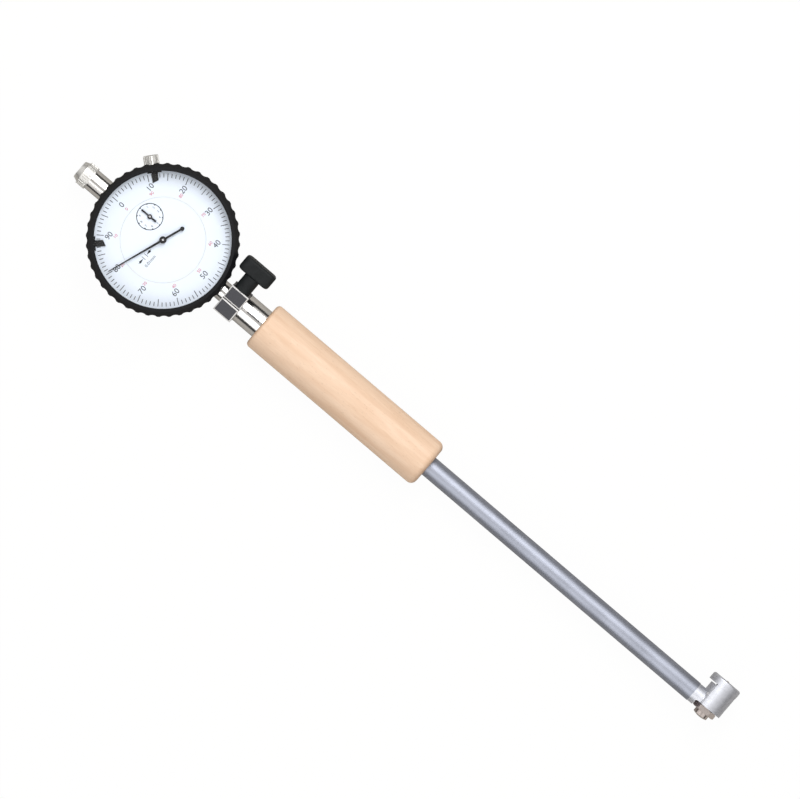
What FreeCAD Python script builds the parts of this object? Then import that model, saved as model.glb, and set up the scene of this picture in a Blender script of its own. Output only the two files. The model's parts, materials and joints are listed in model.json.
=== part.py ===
import FreeCAD, Part
import math
import os
import re

import Sketcher
from FreeCAD import Placement, Rotation, Vector

# A two-point bore gauge: a dial indicator is pinched by its stem in the split neck of a
# long handle, and a push rod carries the travel of the side-facing anvil up to it.
#
# The gauge lies on its back.  Z is the dial's outward normal, Y points to twelve o'clock
# and the probe runs towards -Y.  The origin is the middle of the indicator's flat back.
# Lengths are in millimetres and angles in degrees.

os.makedirs("parts", exist_ok=True)
doc = FreeCAD.newDocument("BoreGauge")
sheet = doc.addObject("Spreadsheet::Sheet", "Sizes")

# --------------------------------------------------------------------------------------
# Driving dimensions
# --------------------------------------------------------------------------------------

SIZES = {
    "Indicator case": {
        "case_radius": 27.2,
        "case_wall": 3.0,
        "back_thickness": 1.2,
        "back_inset": 0.8,
        "edge_round": 0.4,
        "boss_count": 4,
        "boss_angle": 45,
        "boss_radius": 2.3,
        "boss_inset": 2.0,
        "screw_radius": 0.8,
        "screw_head_radius": 1.5,
        "screw_head_height": 0.7,
        "screw_length": 4.0,
        "screw_clearance": 0.15,
        "head_sink": 0.05,
        "thread_clearance": 0.04,
    },
    "Bezel and crystal": {
        "bezel_wall": 2.2,
        "bezel_clearance": 0.1,
        "bezel_sleeve_gap": 0.3,
        "lip_overhang": 0.7,
        "lip_thickness": 1.0,
        "bevel_height": 2.6,
        "bevel_width": 1.5,
        "scallop_count": 44,
        "scallop_depth": 0.5,
        "scallop_cutter": 3.2,
        "crystal_thickness": 1.2,
        "crystal_crown": 0.7,
        "stack_clearance": 0.05,
        "spacer_width": 0.65,
        "snap_thickness": 0.6,
        "snap_width": 1.0,
        "snap_gap": 3.0,
        "rim_gap": 0.4,
        "retainer_play": 0.1,
        "crown_gap": 0.1,
    },
    "Bezel lock screw": {
        "lock_angle": 49,
        "lock_radius": 3.0,
        "lock_length": 4.8,
        "lock_bite": 0.8,
        "lock_headroom": 0.6,
        "lock_gap": 0.1,
        "lock_inset": 0.4,
        "lock_chamfer": 0.4,
        "lock_rim": 0.8,
        "lock_shank_radius": 1.25,
        "flange_width": 0.9,
        "knurl_count": 20,
        "knurl_depth": 0.3,
        "knurl_spread": 1.3,
    },
    "Dial": {
        "dial_thickness": 0.4,
        "dial_split_radius": 16.5,
        "dial_split_gap": 0.08,
        "dial_room": 2.6,
        "dial_foot_radius": 0.8,
        "dial_foot_length": 1.6,
        "dial_foot_inset": 2.5,
        "pointer_hole_radius": 0.9,
    },
    "Pointers": {
        "pointer_angle": 70.4,
        "pointer_length": 24.4,
        "pointer_tail": 8.9,
        "pointer_root_width": 1.3,
        "pointer_tip_width": 0.3,
        "pointer_tail_width": 1.6,
        "pointer_thickness": 0.25,
        "pointer_hub_radius": 1.3,
        "pointer_hub_height": 1.0,
        "pointer_lift": 0.8,
        "small_pointer_length": 3.9,
        "small_pointer_tail": 1.6,
        "small_pointer_width": 0.7,
        "small_pointer_hub_radius": 0.7,
        "small_pointer_hub_height": 0.5,
        "small_pointer_thickness": 0.15,
        "small_pointer_lift": 0.2,
    },
    "Limit markers": {
        "marker_left_angle": 43.4,
        "marker_right_angle": -42.5,
        "marker_length": 4.5,
        "marker_width": 2.4,
        "marker_slant": 0.9,
        "marker_thickness": 0.3,
        "marker_foot_width": 0.5,
        "marker_foot_height": 1.6,
        "marker_foot_span": 12,
        "marker_lift": 0.25,
        "marker_clearance": 0.05,
    },
    "Movement": {
        "travel_per_turn": 1.0,
        "rack_pinion_teeth": 17,
        "wheel_teeth": 100,
        "pinion_teeth": 10,
        "backlash": 0.03,
        "pressure_angle": 20,
        "rack_addendum": 0.9,
        "rack_dedendum": 1.15,
        "wheel_addendum": 0.6,
        "wheel_dedendum": 1.2,
        "pinion_addendum": 1.0,
        "pinion_dedendum": 0.85,
        "rack_pinion_height": 2.8,
        "wheel_thickness": 0.6,
        "pinion_height": 1.1,
        "wheel_lift": 0.5,
        "wheel_rim": 1.4,
        "wheel_hub": 2.2,
        "wheel_spoke": 0.9,
        "pinion_overhang": 0.2,
        "takeup_angle": 20.2,
        "arbor_radius": 0.55,
        "pivot_radius": 0.4,
        "pivot_clearance": 0.03,
        "shoulder_play": 0.1,
        "arbor_overhang": 0.3,
        "plate_thickness": 0.8,
        "plate_clearance": 0.6,
        "upper_plate_radius": 20.4,
        "pillar_length": 2.9,
        "pillar_radius": 1.2,
        "pillar_inset": 1.8,
        "pillar_floor": 0.6,
        "hairspring_thickness": 0.14,
        "hairspring_width": 0.6,
        "hairspring_turns": 4,
        "hairspring_radius": 5.2,
        "hairspring_lift": 0.45,
        "stud_radius": 0.4,
    },
    "Plunger": {
        "plunger_radius": 2.4,
        "plunger_room": 0.5,
        "plunger_clearance": 0.04,
        "plunger_top": 30.0,
        "plunger_standout": 3.0,
        "rack_depth": 0.79,
        "rack_reach": 9.0,
        "tip_length": 4.5,
        "tip_radius": 1.6,
        "tip_nose_radius": 0.8,
        "tip_thread_gap": 0.5,
        "pin_radius": 0.6,
        "pin_place": 12.0,
        "pin_travel": 5.0,
        "pin_overhang": 0.4,
        "guide_width": 3.0,
        "guide_offset": 4.0,
        "guide_wall": 1.2,
        "spring_radius": 1.2,
        "spring_wire": 0.3,
        "spring_offset": 8.6,
        "spring_turns": 9,
        "post_place": 15.0,
        "post_radius": 0.6,
    },
    "Stem and sleeve": {
        "stem_radius": 4.0,
        "stem_standout": 3.1,
        "sleeve_radius": 4.4,
        "sleeve_end": 37.5,
        "sleeve_inset": 0.2,
        "cap_skirt": 0.55,
        "cap_overlap": 1.0,
        "cap_knurl_length": 3.85,
        "cap_length": 5.9,
        "cap_taper": 1.35,
        "cap_wall": 1.0,
        "cap_gap": 0.1,
        "cap_shoulder": 0.5,
        "cap_knurl_count": 30,
        "cap_knurl_depth": 0.25,
        "cap_knurl_margin": 0.6,
    },
    "Pinch clamp": {
        "stem_showing": 4.45,
        "clamp_length": 8.25,
        "clamp_turn": 9,
        "clamp_wall": 1.4,
        "clamp_fit": 0.03,
        "ear_reach": 6.0,
        "ear_rise": 5.0,
        "slit_width": 0.4,
        "ear_chamfer": 0.5,
        "screw_rise": 3.0,
        "clamp_screw_radius": 1.5,
        "clamp_screw_end": 5.4,
        "knob_boss_radius": 3.35,
        "knob_boss_length": 6.6,
        "knob_bar_thickness": 6.1,
        "knob_bar_length": 14.2,
        "knob_bar_width": 7.0,
        "knob_corner": 2.4,
        "knob_round": 1.1,
        "knob_socket": 7.0,
        "knob_gap": 0.1,
    },
    "Neck tube and handle": {
        "neck_wall": 1.0,
        "tube_step": 1.15,
        "tube_depth": 26.1,
        "tube_slit_width": 0.6,
        "tube_slit_inset": 1.3,
        "tube_slit_floor": 1.0,
        "tube_gap": 0.1,
        "handle_radius": 10.0,
        "neck_showing": 10.0,
        "handle_length": 84.3,
        "handle_top_round": 1.6,
        "handle_bottom_round": 2.7,
        "handle_fit": 0.05,
    },
    "Probe": {
        "probe_radius": 4.2,
        "probe_wall": 1.3,
        "probe_inset": 2.6,
        "probe_length": 134.1,
        "rod_radius": 1.6,
        "rod_gap": 0.05,
        "rod_clearance": 0.05,
        "bush_length": 6.0,
        "upper_bush_inset": 3.5,
        "lower_bush_inset": 16.3,
        "rod_spring_room": 14.0,
        "collar_length": 2.5,
        "rod_collar_play": 0.4,
        "rod_spring_wire": 0.4,
        "rod_spring_turns": 7,
        "working_travel": 1.2,
    },
    "Measuring head": {
        "head_drop": 7.6,
        "tip_step": 0.15,
        "collar_thickness": 1.2,
        "spigot_length": 7.0,
        "barrel_radius": 5.0,
        "barrel_left": 1.6,
        "barrel_right": 7.6,
        "lever_arm": 3.0,
        "lever_ball": 0.8,
        "lever_thickness": 1.6,
        "lever_hub": 1.1,
        "lever_web": 0.9,
        "lever_side_room": 0.2,
        "lever_play": 0.25,
        "lever_pin_radius": 0.6,
        "lever_gap": 0.02,
        "anvil_radius": 1.6,
        "anvil_clearance": 0.03,
        "tip_standout": 0.25,
        "ball_radius": 1.3,
        "ball_standout": 1.75,
        "stop_pin_radius": 0.5,
        "stop_pin_inset": 2.0,
        "anvil_neck_radius": 1.0,
        "stop_play": 0.1,
        "pin_sink": 0.25,
    },
    "Fixed anvil": {
        "nut_thickness": 2.3,
        "nut_width": 8.6,
        "nut_bevel": 24,
        "nut_gap": 0.2,
        "fixed_head_radius": 3.1,
        "fixed_head_length": 1.5,
        "fixed_dome": 0.6,
        "fixed_shank_radius": 1.5,
        "fixed_shank_depth": 2.6,
    },
    "Centring bridge": {
        "bridge_wall": 1.34,
        "flange_step": 0.1,
        "bridge_gap": 0.5,
        "flange_length": 3.3,
        "flange_wall": 1.0,
        "flange_round": 0.9,
        "bridge_clearance": 0.06,
        "bridge_cut": 2.5,
        "bridge_travel": 2.5,
        "bridge_hole": 1.95,
        "bridge_spring_radius": 0.75,
        "bridge_spring_wire": 0.25,
        "bridge_spring_turns": 5,
        "bridge_spring_offset": 3.3,
        "bridge_spring_depth": 3.0,
        "bridge_screw_radius": 0.7,
        "bridge_screw_place": 1.0,
        "bridge_screw_depth": 2.0,
        "bridge_screw_sink": 0.1,
        "spring_play": 0.08,
    },
}

# Places and sizes that follow from the driving dimensions.
DERIVED = {
    "axis_height": "handle_radius",
    "case_inner": "case_radius - case_wall",
    "cover_radius": "case_radius - back_inset",
    "boss_top": "axis_height + plunger_radius + plunger_room",
    "lower_top": "boss_top + plate_thickness",
    "upper_bottom": "lower_top + pillar_length",
    "upper_top": "upper_bottom + plate_thickness",
    "dial_bottom": "upper_top + dial_foot_length",
    "dial_top": "dial_bottom + dial_thickness",
    "crystal_bottom": "dial_top + dial_room",
    "crystal_edge": "crystal_bottom + crystal_thickness",
    "bezel_top": "crystal_edge + lip_thickness",
    "flange_bottom": "axis_height + sleeve_radius + bezel_sleeve_gap",
    "lock_height": "flange_bottom + lock_bite - lock_radius",
    "band_bottom": "flange_bottom + lock_bite + lock_headroom",
    "bezel_bore": "case_radius + bezel_clearance",
    "bezel_flange": "bezel_bore + flange_width",
    "stack_radius": "bezel_bore - stack_clearance",
    "spacer_inner": "stack_radius - spacer_width",
    "snap_bottom": "dial_bottom - snap_thickness",
    "case_rim": "snap_bottom - rim_gap",
    "retainer_bottom": "(band_bottom + case_rim - snap_thickness) / 2",
    "retainer_top": "retainer_bottom + snap_thickness",
    "retainer_inner": "case_radius - snap_width / 2",
    "retainer_outer": "case_radius + snap_width / 2",
    "snap_inner": "bezel_bore - snap_width / 2",
    "snap_outer": "bezel_bore + snap_width / 2",
    "rack_pitch": "travel_per_turn * wheel_teeth / pinion_teeth / rack_pinion_teeth",
    "gear_module": "rack_pitch / pi",
    "rack_pinion_radius": "gear_module * rack_pinion_teeth / 2",
    "mesh_distance": "gear_module * (pinion_teeth + wheel_teeth) / 2",
    "rack_arbor_x": "-(rack_pitch_plane + rack_pinion_radius)",
    "rack_arbor_y": "-sqrt(mesh_distance ^ 2 - rack_arbor_x ^ 2)",
    "takeup_x": "mesh_distance * sin(takeup_angle)",
    "takeup_y": "mesh_distance * cos(takeup_angle)",
    "wheel_bottom": "lower_top + wheel_lift",
    "rack_flat": "rack_pitch_plane + rack_addendum * gear_module",
    "rack_root": "rack_pitch_plane - rack_dedendum * gear_module",
    "tip_end": "plunger_bottom + tip_length",
    "clamp_end": "clamp_start + clamp_length",
    "clamp_middle": "clamp_start + clamp_length / 2",
    "clamp_bore": "neck_radius + clamp_fit",
    "tube_bore": "stem_radius + clamp_fit",
    "tube_lower_bore": "probe_radius + clamp_fit",
    "rod_top": "tip_end + rod_gap",
    "spigot_radius": "probe_bore - clamp_fit",
    "lever_swing": "180 / pi * working_travel / lever_arm",
    "lever_rest": "lever_swing / 2",
    "lever_ball_x": "lever_arm * sin(lever_rest)",
    "lever_ball_y": "lever_arm * cos(lever_rest)",
    "anvil_inner": "lever_arm + lever_ball_x + lever_ball + lever_gap",
    "anvil_end": "anvil_tip - ball_standout",
    "rod_bottom": "lever_pivot + lever_ball_x - lever_ball - lever_gap",
    "stop_pin_offset": "anvil_neck_radius + stop_pin_radius + anvil_clearance",
    "skirt_inner": "barrel_radius + bridge_clearance",
    "flange_inside": "flange_end - flange_wall",
    "nut_corner": "nut_width / 2 / cos(30)",
    "fixed_head_start": "barrel_left + nut_thickness",
    "neck_top": "head_place - probe_end - collar_thickness",
    "spigot_top": "head_place - probe_end + spigot_length",
    "lever_pivot": "head_place - lever_arm",
    "lever_room": "lever_ball + lever_play",
    "lever_low": "lever_arm - lever_ball_x - lever_room",
    "lever_high": "lever_arm + lever_ball_x + lever_room",
    "pillar_circle": "upper_plate_radius - pillar_inset",
    "boss_circle": "case_inner - boss_inset",
    "dial_foot_circle": "dial_split_radius - dial_foot_inset",
    "cap_start": "sleeve_end - cap_overlap",
    "cap_end": "cap_start + cap_length",
    "cap_radius": "sleeve_radius + cap_skirt",
    "cap_top_radius": "cap_radius - cap_taper",
    "bezel_radius": "case_radius + bezel_wall",
    "opening_radius": "case_radius - lip_overhang",
    "marker_reach": "spacer_inner - marker_length",
    "clamp_start": "case_radius + stem_showing",
    "stem_end": "clamp_end + stem_standout",
    "plunger_bottom": "stem_end + plunger_standout",
    "rack_pitch_plane": "plunger_radius - rack_depth",
    "pin_reach": "spring_offset + pin_overhang",
    "handle_start": "clamp_end + neck_showing",
    "handle_end": "handle_start + handle_length",
    "tube_end": "handle_start + tube_depth",
    "tube_slit_end": "handle_start - tube_slit_inset",
    "probe_start": "handle_start + probe_inset",
    "probe_end": "handle_end + probe_length",
    "probe_bore": "probe_radius - probe_wall",
    "upper_bush_place": "probe_start + upper_bush_inset",
    "lower_bush_place": "probe_end - lower_bush_inset",
    "collar_place": "upper_bush_place + bush_length + rod_spring_room",
    "rod_collar_radius": "probe_bore - rod_collar_play",
    "rod_spring_radius": "(rod_radius + probe_bore) / 2",
    "head_place": "probe_end + head_drop",
    "tip_sleeve_radius": "probe_radius - tip_step",
    "neck_radius": "stem_radius + neck_wall",
    "tube_radius": "neck_radius + tube_step",
    "clamp_radius": "neck_radius + clamp_wall",
    "ear_height": "clamp_radius + ear_rise",
    "screw_height": "neck_radius + screw_rise",
    "flange_start": "barrel_right + bridge_gap",
    "flange_end": "flange_start + flange_length",
    "anvil_tip": "flange_end + tip_standout",
    "stop_pin_place": "barrel_right - stop_pin_inset",
    "bridge_radius": "skirt_inner + bridge_wall",
    "flange_radius": "bridge_radius + flange_step",
    "fixed_tip": "fixed_head_start + fixed_head_length + fixed_dome",
    "spring_seat_radius": "bridge_spring_radius + bridge_spring_wire / 2 + spring_play",
    "through": "4 * case_radius",
}

ALIASES = {}
row = 1
for group, sizes in SIZES.items():
    sheet.set("A%d" % row, group)
    row += 1
    for name, number in sizes.items():
        sheet.set("A%d" % row, name)
        sheet.set("B%d" % row, str(number))
        sheet.setAlias("B%d" % row, name)
        ALIASES[name] = number
        row += 1
doc.recompute()


# --------------------------------------------------------------------------------------
# Expressions
# --------------------------------------------------------------------------------------

def expand(text):
    """Write a formula of size names as an expression on the sheet."""
    def swap(match):
        word = match.group(0)
        if word in DERIVED:
            return "(" + expand(DERIVED[word]) + ")"
        if word in ALIASES:
            return "Sizes." + word
        return word
    return re.sub(r"[a-z][a-z_]*", swap, text)


def value(text):
    """The number that a formula of size names comes to."""
    return float(sheet.evalExpression(expand(text)))


def bind(item, property_name, text):
    """Tie a property to a formula of size names."""
    item.setExpression(property_name, expand(text))


# --------------------------------------------------------------------------------------
# Frames: the dial's own, the tool axis (local Z runs down the probe) and the measuring
# axis across the head (local Z runs towards the moving anvil)
# --------------------------------------------------------------------------------------

DIAL = ("0", "0", "0", Vector(0, 0, 1), "0")
TOOL = ("0", "0", "axis_height", Vector(1, 0, 0), "90")
HEAD = ("0", "-head_place", "axis_height", Vector(0, 1, 0), "90")
CLAMP = ("0", "-clamp_start", "axis_height", Vector(0, 1, 0), "-clamp_turn")
CLAMP_SCREW = (
    "-screw_height * sin(clamp_turn)",
    "-clamp_middle",
    "axis_height + screw_height * cos(clamp_turn)",
    Vector(0, 1, 0),
    "90 - clamp_turn",
)
RACK_ARBOR = ("rack_arbor_x", "rack_arbor_y", "0", Vector(0, 0, 1), "0")
TAKEUP_ARBOR = ("takeup_x", "takeup_y", "0", Vector(0, 0, 1), "0")


def seat(item, frame):
    """Put a piece in its frame, with its place tied to the sheet."""
    across, along, up, axis, angle = frame
    item.Placement = Placement(Vector(), Rotation(axis, value(angle)))
    bind(item, "Placement.Base.x", across)
    bind(item, "Placement.Base.y", along)
    bind(item, "Placement.Base.z", up)
    if angle != "0":
        bind(item, "Placement.Rotation.Angle", angle)


# --------------------------------------------------------------------------------------
# Bodies
# --------------------------------------------------------------------------------------

def circle_at(radius, height):
    """A test for the round edge of a turned body at a radius and a height."""
    def test(edge):
        curve = edge.Curve
        return (
            curve.TypeId == "Part::GeomCircle"
            and abs(curve.Radius - value(radius)) < 1e-4
            and abs(curve.Center.z - value(height)) < 1e-4
        )
    return test


class Piece:
    """One piece as a PartDesign body, sketched on its own origin planes."""

    def __init__(self, label, frame):
        self.body = doc.addObject("PartDesign::Body", label)
        self.body.Label = label
        seat(self.body, frame)

    def datum(self, role):
        return next(item for item in self.body.Origin.OriginFeatures if item.Role == role)

    def sketch(self, plane, lift):
        sketch = self.body.newObject("Sketcher::SketchObject", "Sketch")
        sketch.AttachmentSupport = [(self.datum(plane), "")]
        sketch.MapMode = "FlatFace"
        bind(sketch, "AttachmentOffset.Base.z", lift)
        return sketch

    def fix(self, sketch, geometry, point, across, up):
        """Hold a sketch point at a place given by two formulas."""
        for kind, text in (("DistanceX", across), ("DistanceY", up)):
            index = sketch.addConstraint(
                Sketcher.Constraint(kind, -1, 1, geometry, point, value(text))
            )
            if re.search("[a-z]", text):
                bind(sketch, "Constraints[%d]" % index, text)

    def outline(self, corners, plane="XY_Plane", lift="0", sketch=None):
        """A closed outline of straight edges through corners given by formulas."""
        sketch = sketch or self.sketch(plane, lift)
        spots = [Vector(value(across), value(up), 0) for across, up in corners]
        first = sketch.GeometryCount
        for index, spot in enumerate(spots):
            following = spots[(index + 1) % len(spots)]
            sketch.addGeometry(Part.LineSegment(spot, following), False)
        for index in range(len(spots)):
            following = first + (index + 1) % len(spots)
            sketch.addConstraint(Sketcher.Constraint("Coincident", first + index, 2, following, 1))
        for index, (across, up) in enumerate(corners):
            self.fix(sketch, first + index, 1, across, up)
        return sketch

    def circles(self, centres, radius, plane="XY_Plane", lift="0", sketch=None):
        """Circles of one radius about centres given by formulas."""
        sketch = sketch or self.sketch(plane, lift)
        for across, up in centres:
            middle = Vector(value(across), value(up), 0)
            circle = Part.Circle(middle, Vector(0, 0, 1), value(radius))
            index = sketch.addGeometry(circle, False)
            tie = sketch.addConstraint(Sketcher.Constraint("Radius", index, value(radius)))
            bind(sketch, "Constraints[%d]" % tie, radius)
            self.fix(sketch, index, 3, across, up)
        return sketch

    def feature(self, kind, sketch):
        feature = self.body.newObject("PartDesign::" + kind, kind)
        feature.Profile = sketch
        return feature

    def turn(self, corners):
        """Turn an outline of (radius, height) corners about the body's Z axis."""
        feature = self.feature("Revolution", self.outline(corners, "XZ_Plane"))
        feature.ReferenceAxis = (feature.Profile[0], ["V_Axis"])
        feature.Angle = 360
        return feature

    def groove(self, corners):
        """Turn a groove of (radius, height) corners out of the body."""
        doc.recompute()
        before = self.body.Shape.Volume
        feature = self.feature("Groove", self.outline(corners, "XZ_Plane"))
        feature.ReferenceAxis = (feature.Profile[0], ["V_Axis"])
        feature.Angle = 360
        self.check_cut(before)
        return feature

    def pad(self, sketch, length):
        feature = self.feature("Pad", sketch)
        bind(feature, "Length", length)
        return feature

    def pocket(self, sketch, length):
        """Cut a sketch out of the body, half of the length each way from its plane."""
        doc.recompute()
        before = self.body.Shape.Volume
        feature = self.feature("Pocket", sketch)
        feature.SideType = "Symmetric"
        bind(feature, "Length", length)
        self.check_cut(before)
        return feature

    def check_cut(self, before):
        doc.recompute()
        if self.body.Shape.Volume > before - 1e-6:
            raise RuntimeError("a cut takes nothing from " + self.body.Label)

    def around(self, features, count):
        """Repeat features evenly about the body's Z axis."""
        pattern = self.body.newObject("PartDesign::PolarPattern", "Around")
        pattern.Originals = features
        pattern.Axis = (self.datum("Z_Axis"), [""])
        pattern.Angle = 360
        bind(pattern, "Occurrences", count)
        self.body.Tip = pattern
        return pattern

    def soften(self, kind, size, test):
        """Fillet or chamfer the edges that pass a test."""
        doc.recompute()
        base = self.body.Tip
        names = ["Edge%d" % (index + 1) for index, edge in enumerate(base.Shape.Edges) if test(edge)]
        if not names:
            raise RuntimeError("no edge to soften on " + self.body.Label)
        feature = self.body.newObject("PartDesign::" + kind, kind)
        feature.Base = (base, names)
        bind(feature, "Radius" if kind == "Fillet" else "Size", size)
        return feature


def ring(inner, outer, bottom, top):
    """The corners of a plain ring's section."""
    return [(inner, bottom), (outer, bottom), (outer, top), (inner, top)]


def rectangle(left, right, bottom, top):
    return [(left, bottom), (right, bottom), (right, top), (left, top)]


def on_circle(radius, angles):
    """Centres at a radius, one for each angle."""
    return [
        ("%s * cos(%s)" % (radius, angle), "%s * sin(%s)" % (radius, angle)) for angle in angles
    ]


BOSS_ANGLES = ["boss_angle + 360 / boss_count * %d" % n for n in range(ALIASES["boss_count"])]
PILLAR_ANGLES = ["0", "120", "180", "300"]
DIAL_FOOT_ANGLES = ["180", "250", "330"]
BOSSES = on_circle("boss_circle", BOSS_ANGLES)
PILLARS = on_circle("pillar_circle", PILLAR_ANGLES)
DIAL_FEET = on_circle("dial_foot_circle", DIAL_FOOT_ANGLES)
SPRING_SEATS = [("-bridge_spring_offset", "0"), ("bridge_spring_offset", "0")]


def solid_piece(label, shape, frame=DIAL):
    """A piece whose shape is worked out in code from the sheet's sizes."""
    item = doc.addObject("Part::Feature", label)
    item.Label = label
    item.Shape = shape
    seat(item, frame)
    return item


# --------------------------------------------------------------------------------------
# Gear teeth and springs
# --------------------------------------------------------------------------------------

def involute(angle):
    return math.tan(angle) - angle


def tooth_outline(teeth, kind, phase, radii_count, bottom):
    """Corners of an involute gear; a kind's addendum and dedendum are in modules."""
    module = value("gear_module")
    addendum = value(kind + "_addendum")
    dedendum = value(kind + "_dedendum")
    pressure = math.radians(value("pressure_angle"))
    pitch_radius = module * teeth / 2
    base_radius = pitch_radius * math.cos(pressure)
    root_radius = pitch_radius - dedendum * module
    tip_radius = pitch_radius + addendum * module
    flank_start = max(root_radius, base_radius)
    half_at_pitch = math.pi / (2 * teeth) - value("backlash") / 2 / (2 * pitch_radius)

    flank = []
    for step in range(radii_count):
        radius = flank_start + (tip_radius - flank_start) * step / (radii_count - 1)
        slope = math.acos(min(1.0, base_radius / radius))
        flank.append((radius, half_at_pitch + involute(pressure) - involute(slope)))
    if root_radius < base_radius:
        flank.insert(0, (root_radius, flank[0][1]))

    corners = []
    for tooth in range(teeth):
        middle = phase + 2 * math.pi * tooth / teeth
        for radius, half in flank:
            corners.append((radius, middle - half))
        for radius, half in reversed(flank):
            corners.append((radius, middle + half))
    return [Vector(r * math.cos(a), r * math.sin(a), bottom) for r, a in corners]


def toothed(teeth, kind, phase, bottom, thickness, bore, radii_count):
    """A toothed disc with a round bore, standing on a height."""
    corners = tooth_outline(teeth, kind, phase, radii_count, bottom)
    rim = Part.Wire(Part.makePolygon(corners + corners[:1]))
    hole = Part.Wire(Part.makeCircle(bore, Vector(0, 0, bottom)))
    section = Part.makeFace([rim, hole], "Part::FaceMakerBullseye")
    return section.extrude(Vector(0, 0, thickness))


def mating_phase(phase, teeth, direction, mate_teeth):
    """The phase of a mate's teeth that interleave along a line of centres."""
    return direction + math.pi + math.pi / mate_teeth - (phase - direction) * teeth / mate_teeth


def swept(sections):
    """A closed solid through sections of equally many points each."""
    faces = []
    count = len(sections[0])
    for near, far in zip(sections, sections[1:]):
        for index in range(count):
            following = (index + 1) % count
            a, b = near[index], near[following]
            c, d = far[index], far[following]
            faces.append(Part.Face(Part.makePolygon([a, b, d, a])))
            faces.append(Part.Face(Part.makePolygon([a, d, c, a])))
    for section in (sections[0], sections[-1]):
        faces.append(Part.Face(Part.makePolygon(section + section[:1])))
    solid = Part.Solid(Part.Shell(faces))
    if solid.Volume < 0:
        solid.reverse()
    return solid


def coil(radius, wire, length, turns, steps=12):
    """A helical spring of square wire about Z, from zero to a length."""
    sections = []
    total = int(turns * steps)
    half = wire / 2
    rise = (length - wire) / total
    for step in range(total + 1):
        angle = 2 * math.pi * step / steps
        out = Vector(math.cos(angle), math.sin(angle), 0)
        middle = out * radius + Vector(0, 0, half + rise * step)
        up = Vector(0, 0, half)
        sections.append([middle - out * half, middle - up, middle + out * half, middle + up])
    return swept(sections)


# --------------------------------------------------------------------------------------
# Indicator case
# --------------------------------------------------------------------------------------

def indicator_case():
    """A turned ring with four screw bosses, two bores on the tool axis and a ring groove."""
    case = Piece("indicator_case", DIAL)
    case.turn(ring("case_inner", "case_radius", "back_thickness", "case_rim"))
    bosses = case.circles(BOSSES, "boss_radius", lift="back_thickness")
    case.pad(bosses, "boss_top - back_thickness")
    hole = "screw_radius + thread_clearance"
    case.pocket(case.circles(BOSSES, hole), "through")
    case.groove(ring(
        "retainer_inner - clamp_fit",
        "retainer_outer",
        "retainer_bottom - clamp_fit",
        "retainer_top + clamp_fit",
    ))
    axis = [("0", "axis_height")]
    stem = case.circles(axis, "stem_radius", "XZ_Plane", "case_radius")
    case.pocket(stem, "3 * case_wall")
    sleeve = case.circles(axis, "sleeve_radius", "XZ_Plane", "-case_radius")
    case.pocket(sleeve, "3 * case_wall")
    lock = case.sketch("YZ_Plane", "0")
    lock.AttachmentOffset = Placement(Vector(), Rotation(Vector(0, 1, 0), value("lock_angle")))
    bind(lock, "AttachmentOffset.Base.x", "case_radius * sin(lock_angle)")
    bind(lock, "AttachmentOffset.Base.z", "case_radius * cos(lock_angle)")
    bind(lock, "AttachmentOffset.Rotation.Angle", "lock_angle")
    shank = "lock_shank_radius + thread_clearance"
    case.pocket(case.circles([("0", "lock_height")], shank, sketch=lock), "3 * case_wall")


def back_cover():
    cover = Piece("back_cover", DIAL)
    cover.turn(ring("0", "cover_radius", "0", "back_thickness"))
    cover.pocket(cover.circles(BOSSES, "screw_radius + screw_clearance"), "through")
    recess = cover.circles(BOSSES, "screw_head_radius + screw_clearance")
    cover.pocket(recess, "2 * (screw_head_height + head_sink)")
    cover.soften("Chamfer", "edge_round", circle_at("cover_radius", "0"))


def boss_screws(label, bottom, head_up):
    """Four cheese-head screws on the case bosses; the head is at the top or at the bottom."""
    screws = Piece(label, DIAL)
    shank_bottom = bottom + (" - screw_length" if head_up else " + screw_head_height")
    screws.pad(screws.circles(BOSSES, "screw_head_radius", lift=bottom), "screw_head_height")
    screws.pad(screws.circles(BOSSES, "screw_radius", lift=shank_bottom), "screw_length")


def snap_ring(label, inner, outer, bottom):
    """A flat spring ring with a gap, sprung into a groove."""
    split = Piece(label, DIAL)
    split.turn(ring(inner, outer, bottom, bottom + " + snap_thickness"))
    gap = rectangle("0", "2 * " + outer, "-snap_gap / 2", "snap_gap / 2")
    split.pocket(split.outline(gap), "through")


# --------------------------------------------------------------------------------------
# Bezel, crystal and limit markers
# --------------------------------------------------------------------------------------

def bezel():
    """A scalloped ring that turns on the case and carries the crystal and the dial ring."""
    rim = Piece("bezel", DIAL)
    band = "bezel_radius + scallop_depth / 2"
    rim.turn([
        ("bezel_bore", "flange_bottom"),
        ("bezel_flange", "flange_bottom"),
        ("bezel_flange", "band_bottom"),
        (band, "band_bottom"),
        (band, "bezel_top - bevel_height"),
        ("bezel_radius - bevel_width", "bezel_top"),
        ("opening_radius", "bezel_top"),
        ("opening_radius", "crystal_edge"),
        ("bezel_bore", "crystal_edge"),
    ])
    rim.groove(ring(
        "opening_radius",
        "retainer_outer + retainer_play",
        "retainer_bottom - retainer_play",
        "retainer_top + retainer_play",
    ))
    rim.groove(ring(
        "opening_radius", "snap_outer + clamp_fit", "snap_bottom - clamp_fit", "dial_bottom",
    ))
    cutter = [("bezel_radius - scallop_depth / 2 + scallop_cutter", "0")]
    sketch = rim.circles(cutter, "scallop_cutter", lift="bezel_top")
    scallop = rim.pocket(sketch, "2 * (bezel_top - band_bottom)")
    rim.around([scallop], "scallop_count")


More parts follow.
